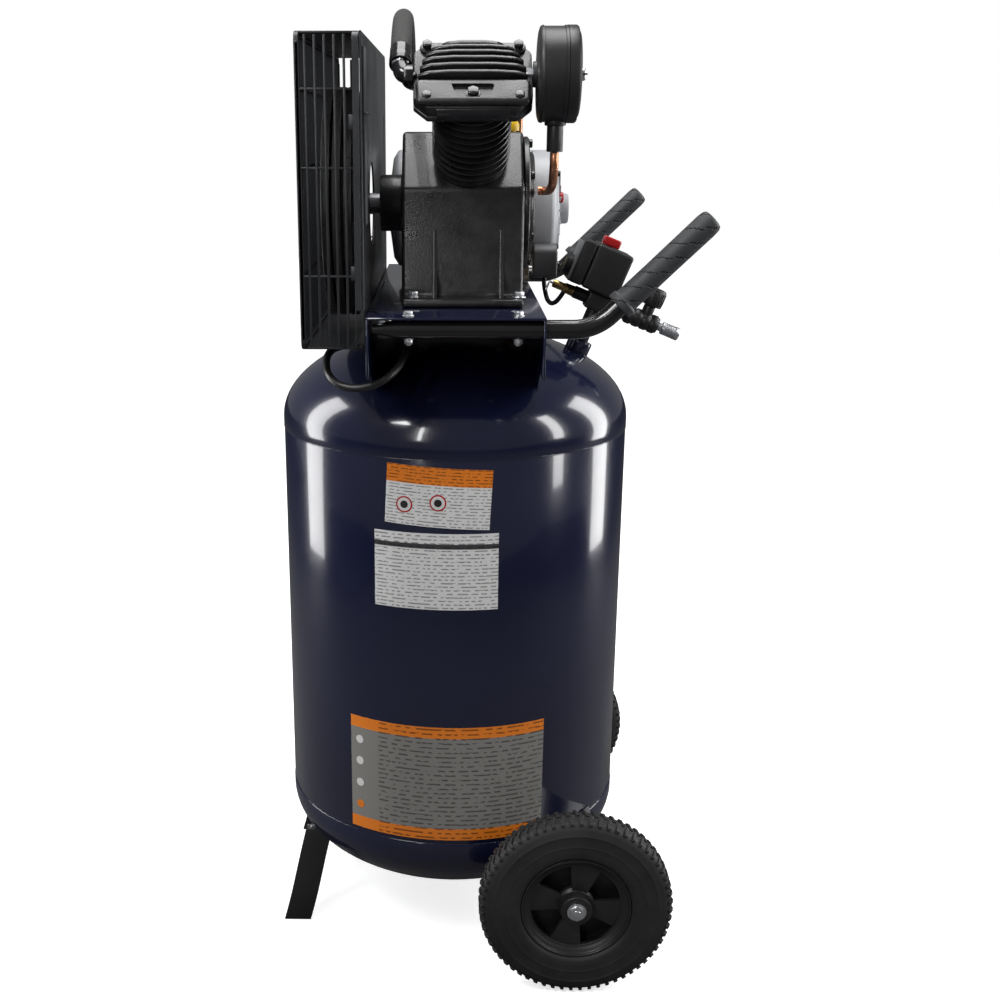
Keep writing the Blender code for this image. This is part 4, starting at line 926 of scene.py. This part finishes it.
# ---------------------------------------------------------------- hose, elbows, filter and tubes

def add_run_uv(obj, path, size):
    """UV along a path: U is the length round the tube and V the length along it, in metres."""
    layer = obj.data.uv_layers.new(name="run")
    spots = np.array([tuple(p) for p in path])
    lengths = np.concatenate(([0.0], np.cumsum(np.linalg.norm(np.diff(spots, axis=0), axis=1))))
    side = Vector((1, 0, 0))
    for face in obj.data.polygons:
        turns = []
        for loop in face.loop_indices:
            co = obj.data.vertices[obj.data.loops[loop].vertex_index].co
            nearest = int(np.argmin(((spots - np.array(co)) ** 2).sum(axis=1)))
            out = co - Vector(spots[nearest])
            ahead = Vector(spots[min(nearest + 1, len(spots) - 1)] - spots[max(nearest - 1, 0)])
            other = ahead.normalized().cross(side)
            turns.append((loop, math.atan2(out.dot(other), out.dot(side)), lengths[nearest]))
        low_turn = min(t for _, t, _ in turns)
        for loop, turn, length in turns:
            if turn - low_turn > math.pi:
                turn -= 2 * math.pi
            layer.data[loop].uv = (turn * size, length)


arc_r = 0.184
lift = cylinder_frame("near", 0.0) @ Vector((0, 0, 0.2036))
start_z = lift.z + 0.02 * HALF
spread = math.asin((PUMP_Y - (lift.y + 0.02 * HALF)) / arc_r)
middle_z = start_z - arc_r * math.cos(spread)
path = []
for step in range(73):
    turn = -spread + 2 * spread * step / 72
    path.append(Vector((-0.064, PUMP_Y + arc_r * math.sin(turn),
                        middle_z + arc_r * math.cos(turn))))
hose = tube(path, 0.01165, 9)
add_run_uv(hose, path, 0.0117)
place(hose, "braided_hose", "frame", BRAID, ["crossover_hose"], 60)
for name, place_at, ahead in (("near", path[2], path[0] - path[3]),
                              ("far", path[-3], path[-1] - path[-4])):
    frame_at = along(place_at, ahead)
    collar = spun([(0.0118, -0.012), (0.0121, -0.0118), (0.0123, 0.0), (0.0128, 0.006),
                   (0.0128, 0.012), (0.0118, 0.0124)], frame_at, 48, 0.0003)
    place(collar, "hose_ferrule_" + name, "frame", BLACK_PAINT)

for name in ("near", "far"):
    spot_at = cylinder_frame(name, 0.0) @ Vector((0, 0, 0.2036))
    head_side = CYLINDER_X[name] - 0.0655
    inward = 1 if name == "near" else -1
    nut = rod(0.0118, 0.0004, 0.0105, along((head_side, spot_at.y, spot_at.z), (-1, 0, 0)),
              6, 0.001)
    end = Vector((-0.064, spot_at.y + inward * 0.017 * HALF, spot_at.z + 0.017 * HALF))
    bend = smooth_path([(head_side - 0.004, spot_at.y, spot_at.z),
                        (-0.0545 if name == "near" else -0.05, spot_at.y, spot_at.z),
                        (-0.0615, spot_at.y + inward * 0.003, spot_at.z + 0.003), end], 5)
    elbow = tube(bend, 0.0098, 8)
    place(elbow, "elbow_" + name, "frame", BLACK_PAINT,
          ["discharge_elbow_" + name])
    swivel = rod(0.0112, -0.0035, 0.005, along(end, (0, inward, 1)), 6, 0.001)
    place(nut, "elbow_head_nut_" + name, "frame", BLACK_PAINT)
    place(swivel, "elbow_swivel_" + name, "frame", ZINC)

y, z = -0.256, 1.15
axis = along_x(0, y, z)
drum = spun([(0, 0.0821), (0.0135, 0.0821), (0.014, 0.086), (0.046, 0.0876), (0.05, 0.089),
             (0.0511, 0.091), (0.0511, 0.0925), (0.0502, 0.093), (0.0502, 0.115),
             (0.0511, 0.1156), (0.0511, 0.1184), (0.0484, 0.1184), (0.0484, 0.092),
             (0.0036, 0.0915), (0.0034, 0.1368), (0, 0.1368)], axis, 96)
neck = rod(0.0091, 1.0682, 1.105, along((0.108, y, 0), (0, 0, 1)), 40, 0.0008)
flare = rod(0.012, 1.096, 1.104, along((0.108, y, 0), (0, 0, 1)), 40, 0.0015)
place(joined([drum, neck, flare]), "filter_drum", "frame", PLASTIC,
      ["filter_base"])
lid = spun([(0.004, 0.1298), (0.044, 0.1298), (0.0478, 0.127), (0.048, 0.119),
            (0.0513, 0.119), (0.0513, 0.1282), (0.05, 0.1302), (0.0462, 0.1308),
            (0.044, 0.1324), (0.026, 0.133), (0.024, 0.1322), (0.012, 0.1322),
            (0.01, 0.1334), (0.004, 0.1334)], axis, 96)
place(lid, "filter_lid", "filter_cover", PLASTIC, ["filter_cover"])
spacer = spun([(0, 0.074), (0.0075, 0.074), (0.0075, 0.0822), (0, 0.0822)], axis, 6, 0.0008)
place(spacer, "filter_nipple", "frame", ZINC)
nut = spun([(0.0039, 0.1339), (0.0074, 0.1339), (0.0066, 0.1385), (0.0052, 0.1399),
            (0.0039, 0.1399)], axis, 32, 0.0004)
wings = []
for side in (-1, 1):
    wing = prism(softened([(0.0045, 0.1345), (0.009, 0.135), (0.0155, 0.1385),
                           (0.0158, 0.141), (0.0135, 0.1419), (0.0095, 0.1402),
                           (0.0045, 0.1392)], 0.0008), -0.0011, 0.0011, WORLD, 0.0004, 1)
    turn = Matrix(((0, 1, 0, 0), (side, 0, 0, y), (0, 0, 1, z), (0, 0, 0, 1)))
    wings.append(turned(wing, turn))
place(joined([nut] + wings), "wing_nut_cast", "wing_nut", ZINC, ["wing_nut"])

route = [(0.108, -0.256, 1.0676), (0.108, -0.254, 1.052), (0.1085, -0.235, 1.034),
         (0.1075, -0.205, 1.025), (0.104, -0.178, 1.0225), (0.0964, -0.175, 1.0225)]
place(tube(smooth_path(route, 12), 0.005, 7), "breather_pipe", "frame", COPPER,
      ["breather_tube"])
route = [(0.081, 0.0145, 1.133), (0.081, 0.006, 1.124), (0.081, 0.004, 1.105),
         (0.081, 0.016, 1.07), (0.081, 0.02, 1.03), (0.081, 0.02, 0.95),
         (0.081, 0.02, 0.88), (0.081, 0.02, 0.8455)]
pipe = tube(smooth_path(route, 10), 0.0047, 6)
place(pipe, "discharge_pipe", "frame", COPPER, ["discharge_tube"])
valve_at = along((0.081, 0.02, 0), (0, 0, 1))
valve = joined([rod(0.0088, 0.8322, 0.8425, valve_at, 6, 0.001),
                rod(0.0076, 0.8425, 0.8495, valve_at, 32, 0.0008)])
place(valve, "check_valve", "frame", BRASS)


# ---------------------------------------------------------------- motor

axis = along_x(0, MOTOR_Y, MOTOR_Z)
inner = 0.0768
can = spun([(0.009, -0.0922), (0.029, -0.0922), (0.034, -0.091), (0.068, -0.0862),
            (0.078, -0.08), (0.0793, -0.0775), (0.0793, -0.071), (0.0786, -0.0705),
            (0.0786, -0.069), (0.0793, -0.0685), (0.0793, 0.1035), (0.0783, 0.1048),
            (inner, 0.1048), (inner, -0.076), (0.067, -0.082), (0.03, -0.087),
            (0.009, -0.087)], axis, 96)
cradle = []
for x in (-0.052, 0.078):
    for y_side in (-1, 1):
        base = 0.891
        leg = prism(softened([(0.03, base), (0.066, base), (0.066, base + 0.004),
                              (0.052, base + 0.006), (0.056, 0.929), (0.048, 0.9238)], 0.0015),
                    0.0, 0.024, WORLD, 0.0008, 1)
        turn = Matrix(((0, 0, 1, x), (y_side, 0, 0, MOTOR_Y), (0, 1, 0, 0), (0, 0, 0, 1)))
        cradle.append(turned(leg, turn))
band = prism([(0.061, 0.891), (0.189, 0.891), (0.189, 0.8945), (0.061, 0.8945)],
             -0.066, 0.102, SIDEWAYS, 0.0008)
place(can, "motor_can", "frame", MOTOR, ["motor_shell"])
place(joined(cradle + [band]), "motor_feet", "frame", CREAM)

RESET = along_x(0, MOTOR_Y - 0.03, 1.0016)
bell = spun([(inner, 0.1056), (0.0794, 0.1056), (0.0794, 0.129), (0.078, 0.1325),
             (0.072, 0.1372), (0.069, 0.1382), (0.056, 0.1392), (0.054, 0.1412),
             (0.05, 0.1418), (0.031, 0.143), (0.029, 0.1448), (0.0215, 0.145),
             (0.0208, 0.1458), (0.0205, 0.1555), (0.019, 0.1578), (0, 0.1579),
             (0, 0.14), (0.05, 0.1366), (0.069, 0.1336), (inner, 0.127)], axis, 96)
bore = rod(0.0049, 0.12, 0.17, RESET, 32)
cut(bell, bore)
fin = prism([(0.024, 0.0), (0.052, 0.0), (0.052, 0.0022), (0.024, 0.0034)],
            -0.0009, 0.0009, WORLD, 0.0003, 1)
fin.data.transform(Matrix(((1, 0, 0, 0), (0, 0, -1, 0), (0, 1, 0, 0.1425), (0, 0, 0, 1))))
fins = ring_of(fin, 18, WORLD)
fins.data.transform(axis)
place(joined([bell, fins]), "motor_end_bell", "frame", MOTOR,
      ["motor_rear_bell"])
cover = prism(softened([(0.0305, 0.8992), (0.0695, 0.8992), (0.0695, 0.9427), (0.04, 0.9427),
                        (0.0305, 0.935)], 0.004), 0.106, 0.1378, SIDEWAYS, 0.002, 3)
cut(cover, rod(0.0795, 0.09, 0.15, axis, 96))
place(cover, "terminal_cover", "frame", MOTOR_DARK)
plate = block((0.1379, 0.0345, 0.903), (0.1383, 0.056, 0.933))
yellow_print = printed("yellow tag print", [(0.0, (0.8, 0.62, 0.03)), (0.75, DARK),
                                            (0.8, (0.8, 0.62, 0.03))])
plate.data.uv_layers[0].name = "label"
place(plate, "terminal_tag", "frame", yellow_print)
gland = rod(0.0058, 0.1378, 0.142, along_x(0, 0.047, 0.914), 6, 0.001)
screws = []
for turn in (50, 130, 230, 310):
    spot_at = (0.1384, MOTOR_Y + 0.0635 * math.cos(math.radians(turn)),
               MOTOR_Z + 0.0635 * math.sin(math.radians(turn)))
    screws.append(bolt(spot_at, (1, 0, 0), 0.007, 0.0034, 0.009))
place(joined(screws + [gland]), "bell_screws", "frame", BLACK_PAINT)
button = spun([(0, 0.1282), (0.006, 0.1282), (0.006, 0.1298), (0.0043, 0.13),
               (0.0043, 0.148), (0.0036, 0.1493), (0, 0.1494)],
              RESET, 40)
place(button, "reset_plunger", "reset_button", RED, ["reset_button"])
collar = spun([(0.005, 0.1405), (0.0072, 0.1405), (0.0072, 0.147), (0.0064, 0.1484),
               (0.005, 0.1484)], RESET, 40, 0.0004)
place(collar, "reset_collar", "frame", RED)


# ---------------------------------------------------------------- belt guard and drive

X0, X1 = -0.1768, -0.1071
Y0, Y1 = -0.2998, 0.2718
Z0, Z1 = 0.8517, 1.1932


def spread_copies(piece, moves):
    """Copies of one piece at each offset, the piece itself dropped."""
    pieces = [copy_of(piece, Matrix.Translation(move)) for move in moves]
    bpy.data.objects.remove(piece)
    return joined(pieces)


cage = []
wide = 0.0028
for y, depth in ((Y0, 0.003), (Y1 - 0.003, 0.003)):
    slat = block((-wide / 2, 0.0, Z0 + 0.004), (wide / 2, depth, Z1 - 0.004), edge=0.0005)
    moves = [(X0 + 0.0118 + 0.0105 * step, y, 0.0) for step in range(5)]
    cage.append(spread_copies(slat, moves))
for z in (Z0, Z1 - 0.0022):
    cage.append(block((X0 + 0.001, Y0 + 0.008, z), (X1 - 0.001, Y1 - 0.008, z + 0.0022),
                      edge=0.0004))
slat = block((X0, -wide / 2, Z0 + 0.004), (X0 + 0.003, wide / 2, Z1 - 0.004), edge=0.0005)
count = 46
cage.append(spread_copies(slat, [(0, Y0 + 0.0125 + (Y1 - Y0 - 0.025) * step / (count - 1), 0)
                                 for step in range(count)]))
for z in (Z0 + 0.083, Z0 + 0.2, Z1 - 0.059):
    for y in (Y0 + 0.0002, Y1 - 0.0027):
        cage.append(block((X0 + 0.003, y, z - 0.0012), (X1 - 0.006, y + 0.0025, z + 0.0012),
                          edge=0.0005))
    cage.append(block((X0 + 0.0003, Y0 + 0.003, z - 0.0012), (X0 + 0.0028, Y1 - 0.003, z + 0.0012),
                      edge=0.0005))

def corner_loop(low, high, width, radius):
    """A rounded rectangular hoop round the guard between two X positions."""
    y_mid, z_mid = (Y0 + Y1) / 2, (Z0 + Z1) / 2
    hoop = [[], []]
    for index, inset in enumerate((0.0, width)):
        ry = (Y1 - Y0) / 2 - inset
        rz = (Z1 - Z0) / 2 - inset
        round_r = radius - inset
        for quarter, (sy, sz) in enumerate(((1, 1), (-1, 1), (-1, -1), (1, -1))):
            for step in range(7):
                turn = math.pi / 2 * (quarter + step / 6)
                hoop[index].append((y_mid + sy * (ry - round_r) + round_r * math.cos(turn),
                                    z_mid + sz * (rz - round_r) + round_r * math.sin(turn)))
    outer = prism(hoop[0], low, high, SIDEWAYS)
    inner_tool = prism(hoop[1], low - 0.01, high + 0.01, SIDEWAYS)
    cut(outer, inner_tool)
    return rounded(outer, 0.0005, 1, 50)


cage.append(corner_loop(X0, X0 + 0.005, 0.005, 0.012))
cage.append(corner_loop(X1 - 0.0075, X1, 0.0042, 0.012))
notch_tool = block((-0.1135, Y0 - 0.01, Z0 - 0.01), (-0.09, Y0 + 0.025, 0.897))
cut(cage[-1], notch_tool)
for y in (Y0, Y1 - 0.0048):
    cage.append(block((X0 + 0.001, y, Z0 + 0.01), (X0 + 0.0058, y + 0.0048, Z1 - 0.01),
                      edge=0.0008))
place(joined(cage), "slatted_guard", "frame", GUARD, ["belt_guard"], 40)
clips = []
for z in (0.938, 1.1):
    clips.append(block((X0, Y0 + 0.0001, z - 0.01), (X0 + 0.005, Y0 + 0.012, z + 0.01),
                       edge=0.0012))
    clips.append(block((X1 - 0.012, Y0 + 0.0001, z - 0.008), (X1 - 0.0005, Y0 + 0.008, z + 0.008),
                       edge=0.0012))
place(joined(clips), "guard_clips", "frame", GUARD)

panel_outline = softened([(Y0, Z0), (Y1, Z0), (Y1, Z1), (Y0, Z1)], 0.012, 6)
back = prism(panel_outline, -0.1064, -0.1042, SIDEWAYS, 0.0004, 1)
for tool in (rod(0.05, -0.12, -0.09, along_x(0, PUMP_Y, CRANK_Z), 64),
             rod(0.02, -0.12, -0.09, along_x(0, MOTOR_Y, MOTOR_Z), 48),
             block((-0.12, Y0 - 0.01, Z0 - 0.01), (-0.09, Y0 + 0.025, 0.897)),
             block((-0.12, Y0 + 0.02, 1.105), (-0.09, Y0 + 0.052, 1.15)),
             block((-0.12, Y0 + 0.014, 0.905), (-0.09, Y0 + 0.022, 1.05)),
             block((-0.12, 0.205, 0.93), (-0.09, 0.215, 1.11))):
    cut(back, tool)
place(back, "guard_back", "frame", GUARD, ["guard_back_plate"])
strip = block((-0.1039, Y0 + 0.01, 0.99), (-0.1017, Y0 + 0.05, 1.178), edge=0.0006)
lip = block((-0.1039, Y0 + 0.008, 1.108), (-0.0985, Y0 + 0.054, 1.1105), edge=0.0006)
cut(strip, rod(0.06, -0.12, -0.09, along_x(0, PUMP_Y, CRANK_Z), 48))
place(joined([strip, lip]), "guard_stay", "frame", GUARD_EDGE)

BELT_X = -0.138
left, right = BELT_X - 0.018, BELT_X + 0.018
axis = along_x(0, PUMP_Y, CRANK_Z)
rim = spun([(0.12, left + 0.001), (0.134, left), (0.1358, left + 0.001),
            (0.1358, BELT_X - 0.0082), (0.1345, BELT_X - 0.0076), (0.1281, BELT_X - 0.0062),
            (0.1281, BELT_X + 0.0062), (0.1345, BELT_X + 0.0076), (0.1358, BELT_X + 0.0082),
            (0.1358, right - 0.001), (0.134, right), (0.12, right - 0.001)], axis, 128)
hub = spun([(0.0124, left - 0.0018), (0.022, left - 0.0018), (0.0228, left - 0.0008),
            (0.023, right - 0.001), (0.022, right), (0.0124, right)], axis, 48)
spoke = prism(softened([(0.0205, -0.0155), (0.06, -0.01), (0.1215, -0.02),
                        (0.123, 0.0), (0.1215, 0.02), (0.06, 0.01), (0.0205, 0.0155)],
                       0.01, 4), BELT_X - 0.004, BELT_X + 0.004, WORLD, 0.0018, 2)
fan = ring_of(spoke, 5, WORLD)
fan.data.transform(axis)
web = spun([(0.11, BELT_X - 0.0038), (0.121, BELT_X - 0.0038), (0.121, BELT_X + 0.0038),
            (0.11, BELT_X + 0.0038)], axis, 96, 0.001)
place(joined([rim, hub, fan, web]), "spoked_flywheel", "crank", CAST,
      ["flywheel"], 32)
retainer = joined([rod(0.0118, -0.164, -0.16, axis, 48, 0.0008),
                   rod(0.0108, -0.164, -0.16, axis, 6, 0.001)])
place(retainer, "flywheel_nut", "crank", ZINC)

axis = along_x(0, MOTOR_Y, MOTOR_Z)
sheave = spun([(0.0084, BELT_X - 0.0118), (0.0345, BELT_X - 0.0118), (0.0358, BELT_X - 0.011),
               (0.0358, BELT_X - 0.0078), (0.0301, BELT_X - 0.0062), (0.0301, BELT_X + 0.0062),
               (0.0358, BELT_X + 0.0078), (0.0358, BELT_X + 0.011), (0.0345, BELT_X + 0.0118),
               (0.0084, BELT_X + 0.0118)], axis, 96)
place(sheave, "motor_sheave", "motor_rotor", IRON, ["motor_pulley"])

slope = math.atan2(MOTOR_Z - CRANK_Z, MOTOR_Y - PUMP_Y)
lean = math.acos((0.129 - 0.0308) / math.hypot(MOTOR_Y - PUMP_Y, MOTOR_Z - CRANK_Z))
loops = [[], []]
for index in range(97):
    turn = slope + lean + (2 * math.pi - 2 * lean) * index / 96
    for ring, radius in ((0, 0.1291), (1, 0.1358)):
        loops[ring].append((PUMP_Y + radius * math.cos(turn), CRANK_Z + radius * math.sin(turn)))
for index in range(41):
    turn = slope - lean + 2 * lean * index / 40
    for ring, radius in ((0, 0.031), (1, 0.0376)):
        loops[ring].append((MOTOR_Y + radius * math.cos(turn), MOTOR_Z + radius * math.sin(turn)))
belt = prism(loops[1], BELT_X - 0.0049, BELT_X + 0.0049, SIDEWAYS)
cut(belt, prism(loops[0], BELT_X - 0.02, BELT_X + 0.02, SIDEWAYS))
rounded(belt, 0.0006, 1, 50)
place(belt, "wedge_belt", "frame", TYRE, ["drive_belt"])

gusset = prism([(-0.104, 0.8912), (-0.0965, 0.8912), (-0.0815, 0.925), (-0.084, 0.925)],
               -0.25, -0.2475, Matrix(((1, 0, 0, 0), (0, 0, 1, 0), (0, 1, 0, 0), (0, 0, 0, 1))),
               0.0006, 1)
place(gusset, "guard_gusset", "frame", GUARD)


# ---------------------------------------------------------------- pressure controls

LENGTH = CONTROL @ Matrix.Rotation(math.pi / 2, 4, "Y")

core = block((-0.0165, -0.0145, -0.0125), (0.0165, 0.0145, 0.0108), CONTROL, 0.0025, 3)
riser = rod(0.0098, -0.0555, -0.01, CONTROL, 32, 0.0008)
riser_nut = rod(0.0116, -0.044, -0.035, CONTROL, 6, 0.001)
back_pipe = rod(0.0083, -0.0353, -0.015, LENGTH, 32, 0.0008)
front_pipe = rod(0.0093, 0.015, 0.0398, LENGTH, 32, 0.0008)
front_nut = rod(0.0122, 0.026, 0.035, LENGTH, 6, 0.0012)
place(joined([core, riser, back_pipe, front_pipe, front_nut]), "manifold_body", "frame",
      PLASTIC, ["manifold"])
place(riser_nut, "riser_nut", "frame", ZINC)

shell_outline = softened([(-0.0325, -0.0325), (0.0176, -0.0325), (0.0176, 0.0325),
                          (-0.0325, 0.0325)], 0.005, 4)
case = prism(shell_outline, 0.0117, 0.0715, CONTROL, 0.0036, 4)
knob_at = CONTROL @ Matrix.Translation((-0.0145, 0, 0))
cut(case, rod(0.0051, 0.045, 0.08, knob_at, 32))
base = prism(softened([(-0.0505, -0.0315), (-0.0335, -0.0315), (-0.0335, 0.0315),
                       (-0.0505, 0.0315)], 0.004, 3), 0.0122, 0.07, CONTROL, 0.0022, 3)
place(joined([case, base]), "switch_case", "frame", PLASTIC,
      ["pressure_switch"])
side_plate = block((-0.0528, -0.03, 0.0125), (-0.0503, 0.03, 0.066), CONTROL, 0.0008)
place(side_plate, "switch_side_plate", "frame", GREY)
stem = rod(0.0044, 0.0522, 0.074, knob_at, 32)
knob = prism(softened([(-0.0122, -0.0085), (0.0122, -0.0085), (0.0122, 0.0085),
                       (-0.0122, 0.0085)], 0.005, 4), 0.0725, 0.0833, knob_at, 0.0018, 3)
place(joined([stem, knob]), "auto_off_knob", "switch_knob", RED, ["switch_knob"])

valve = spun([(0, -0.0359), (0.0072, -0.0359), (0.0072, -0.038), (0.006, -0.0395),
              (0.006, -0.043), (0.0068, -0.044), (0.0068, -0.048), (0.0055, -0.049),
              (0.0055, -0.064), (0.0048, -0.0654), (0.0022, -0.0654), (0.0022, -0.056),
              (0, -0.056)], LENGTH, 40)
hexed = rod(0.0078, -0.0436, -0.037, LENGTH, 6, 0.0009)
place(joined([valve, hexed]), "relief_valve", "frame", BRASS, ["safety_valve"])
stem = rod(0.0016, -0.0703, -0.0572, LENGTH, 20)
bpy.ops.mesh.primitive_torus_add(major_segments=56, minor_segments=10, major_radius=0.0066,
                                 minor_radius=0.0007)
ring = bpy.context.object
settle(ring)
ring.data.transform(CONTROL @ Matrix.Translation((-0.0705, 0, -0.0065))
                    @ Matrix.Rotation(math.pi / 2, 4, "Y"))
place(joined([stem, ring]), "relief_ring", "safety_ring", ZINC, ["safety_ring"])

profile = [(0, 0.0405), (0.0108, 0.0405)]
for rib_at in (0.0425, 0.054, 0.0655, 0.077):
    profile += [(0.0112, rib_at - 0.001), (0.0124, rib_at + 0.0006), (0.0124, rib_at + 0.0068),
                (0.0112, rib_at + 0.0084)]
profile += [(0.01, 0.0878), (0.0054, 0.088)]
body = spun(profile + [(0, 0.088)], LENGTH, 64)
turn_at = CONTROL @ Matrix.Translation((0.0675, 0, 0))
tower = rod(0.0079, 0.006, 0.0212, turn_at, 40, 0.0006)
place(joined([body, tower]), "regulator_body", "frame", PLASTIC, ["regulator"])
spigot = spun([(0.003, 0.0878), (0.0054, 0.0878), (0.0054, 0.116), (0.0048, 0.1178),
               (0.003, 0.1178)], LENGTH, 48)
place(spigot, "coupler_spigot", "frame", ZINC)
knob = spun([(0, 0.0217), (0.0135, 0.0217), (0.0146, 0.0232), (0.0142, 0.0425), (0.0125, 0.0452),
             (0.01, 0.0459), (0, 0.0459)], turn_at, 64)
rib = block((0.0138, -0.0008, 0.025), (0.015, 0.0008, 0.0415), edge=0.0005, segments=1)
ribs = ring_of(rib, 24, WORLD)
ribs.data.transform(turn_at)
place(joined([knob, ribs]), "ribbed_knob", "regulator_knob", PLASTIC,
      ["regulator_knob"])
profile = [(0.006, 0.0942), (0.008, 0.0942), (0.0086, 0.0952)]
for groove in range(5):
    z = 0.0975 + groove * 0.003
    profile += [(0.0087, z), (0.0081, z + 0.0006), (0.0081, z + 0.0014), (0.0087, z + 0.002)]
profile += [(0.0087, 0.118), (0.0082, 0.1189), (0.006, 0.1189)]
place(spun(profile, LENGTH, 64), "coupler_ring", "coupler_sleeve", ZINC,
      ["coupler_sleeve"])


# ---------------------------------------------------------------- cables

supply = [(-0.1036, -0.15, 0.838), (-0.118, -0.152, 0.838), (-0.136, -0.165, 0.837),
          (-0.15, -0.195, 0.836), (-0.1545, -0.23, 0.83), (-0.15, -0.262, 0.818),
          (-0.136, -0.281, 0.809), (-0.117, -0.288, 0.8065), (-0.098, -0.288, 0.8095),
          (-0.081, -0.284, 0.817), (-0.068, -0.27, 0.828), (-0.06, -0.248, 0.84),
          (-0.055, -0.222, 0.848), (-0.052, -0.195, 0.852), (-0.05, -0.165, 0.853)]
place(tube(smooth_path(supply, 8), 0.0046, 6), "supply_flex", "frame", JACKET,
      ["supply_cable"], 60)
lead = [(0.122, 0.052, 0.8984), (0.122, 0.052, 0.89), (0.1235, 0.046, 0.879),
        (0.1262, 0.037, 0.869), (0.1305, 0.029, 0.865), (0.136, 0.023, 0.867),
        (0.142, 0.0205, 0.874), (0.1475, 0.02, 0.883), (0.1515, 0.02, 0.892)]
place(tube(smooth_path(lead, 8), 0.0032, 5), "motor_flex", "frame", JACKET,
      ["motor_lead"], 60)


# ---------------------------------------------------------------- carried-over parts

CARRIED = {
    "machined_iron": IRON, "piston_alloy": ALLOY, "zinc_steel": ZINC, "brass": BRASS,
    "copper": COPPER, "motor_grey": MOTOR, "tyre_rubber": TYRE, "grip_rubber": GRIP,
    "black_plastic": PLASTIC, "cable_jacket": JACKET, "red_plastic": RED,
    "yellow_plastic": YELLOW, "black_paint": BLACK_PAINT, "cast_iron": CAST, "tank_paint": NAVY,
}
slots = {item["node"]: item["material_slot"] for item in frame["record"]["subparts"]}
for node, obj in frame["nodes"].items():
    look = CARRIED.get(slots[node])
    if look:
        obj.data.materials.clear()
        obj.data.materials.append(look)
        smooth(obj, 35)


# ---------------------------------------------------------------- floor, light and camera

bpy.ops.mesh.primitive_plane_add(size=14, location=(0, 3.0, 0))
floor = bpy.context.object
edit(floor)
bpy.ops.mesh.subdivide(number_cuts=24)
leave_edit()
settle(floor)
floor.name = "floor"
backdrop, paper, shade = new_look("floor paper")
fleck = add_node(paper, "TexNoise", {"Scale": 3.0})
tint = add_node(paper, "MapRange", {"To Min": 0.9, "To Max": 0.92,
                                    "Value": fleck.outputs["Fac"]})
seen = add_node(paper, "LightPath").outputs["Is Camera Ray"]
tone = add_node(paper, "Mix", data_type="RGBA")
fill(paper, tone, {6: (0.1, 0.1, 0.1, 1), 0: seen, 7: tint.outputs["Result"]})
place_on = add_node(paper, "TexCoord").outputs["Object"]
split = add_node(paper, "SeparateXYZ", {"Vector": place_on})
fade = add_node(paper, "MapRange", {"From Min": 0.2, "From Max": 1.6, "To Min": 0.62,
                                    "Value": split.outputs["Y"]})
glow = add_node(paper, "Math", {0: seen, 1: fade.outputs["Result"]}, operation="MULTIPLY")
fill(paper, shade, {"Roughness": 0.8, "Specular IOR Level": 0.1, "Base Color": tone.outputs[2],
                    "Emission Strength": glow.outputs[0], "Emission Color": (1, 1, 1, 1)})
floor.data.materials.append(backdrop)
smooth(floor, 30)


def panel(name, where, target, width, height, power):
    """A soft box aimed at a point."""
    light = bpy.data.lights.new(name, "AREA")
    light.shape = "RECTANGLE"
    light.size = width
    light.size_y = height
    light.energy = power
    lamp = bpy.data.objects.new(name, light)
    bpy.context.collection.objects.link(lamp)
    lamp.location = where
    aim = Vector(target) - Vector(where)
    lamp.rotation_euler = aim.to_track_quat("-Z", "Y").to_euler()


panel("key", (-1.3, -1.5, 2.7), (0, 0, 0.9), 0.7, 0.9, 34)
panel("fill", (2.1, -0.9, 1.5), (0, 0, 0.7), 0.35, 1.8, 20)
panel("overhead", (0.0, 0.2, 3.0), (0, 0, 0.6), 1.6, 1.6, 46)
panel("streak", (-1.0, -2.4, 1.7), (0, 0, 1.0), 0.12, 1.3, 9)
panel("rim_left", (-1.9, 0.3, 1.1), (0, 0, 0.6), 0.6, 2.0, 26)
panel("rim_right", (1.9, 0.5, 1.1), (0, 0, 0.6), 0.6, 2.0, 26)

world = bpy.data.worlds.new("studio")
world.use_nodes = True
sky = world.node_tree
dim = sky.nodes["Background"]
fill(sky, dim, {"Color": (0.96, 0.97, 1.0, 1), "Strength": 0.16})
white = add_node(sky, "Background", {"Color": (1, 1, 1, 1), "Strength": 1.0})
seen = add_node(sky, "LightPath").outputs["Is Camera Ray"]
either = add_node(sky, "MixShader", {"Fac": seen, 1: dim.outputs["Background"],
                                     2: white.outputs["Background"]})
fill(sky, sky.nodes["World Output"], {"Surface": either.outputs["Shader"]})
bpy.context.scene.world = world

lens = bpy.data.cameras.new("view")
lens.lens = 48.2
lens.sensor_width = 36.0
lens.shift_x = 0.076
lens.shift_y = 0.039
camera = bpy.data.objects.new("view", lens)
camera.location = (-0.0425, -1.816, 1.0949)
camera.rotation_euler = (math.radians(72.89), 0, math.radians(0.985))
bpy.context.collection.objects.link(camera)
bpy.context.scene.camera = camera
bpy.context.scene.view_settings.view_transform = "Standard"
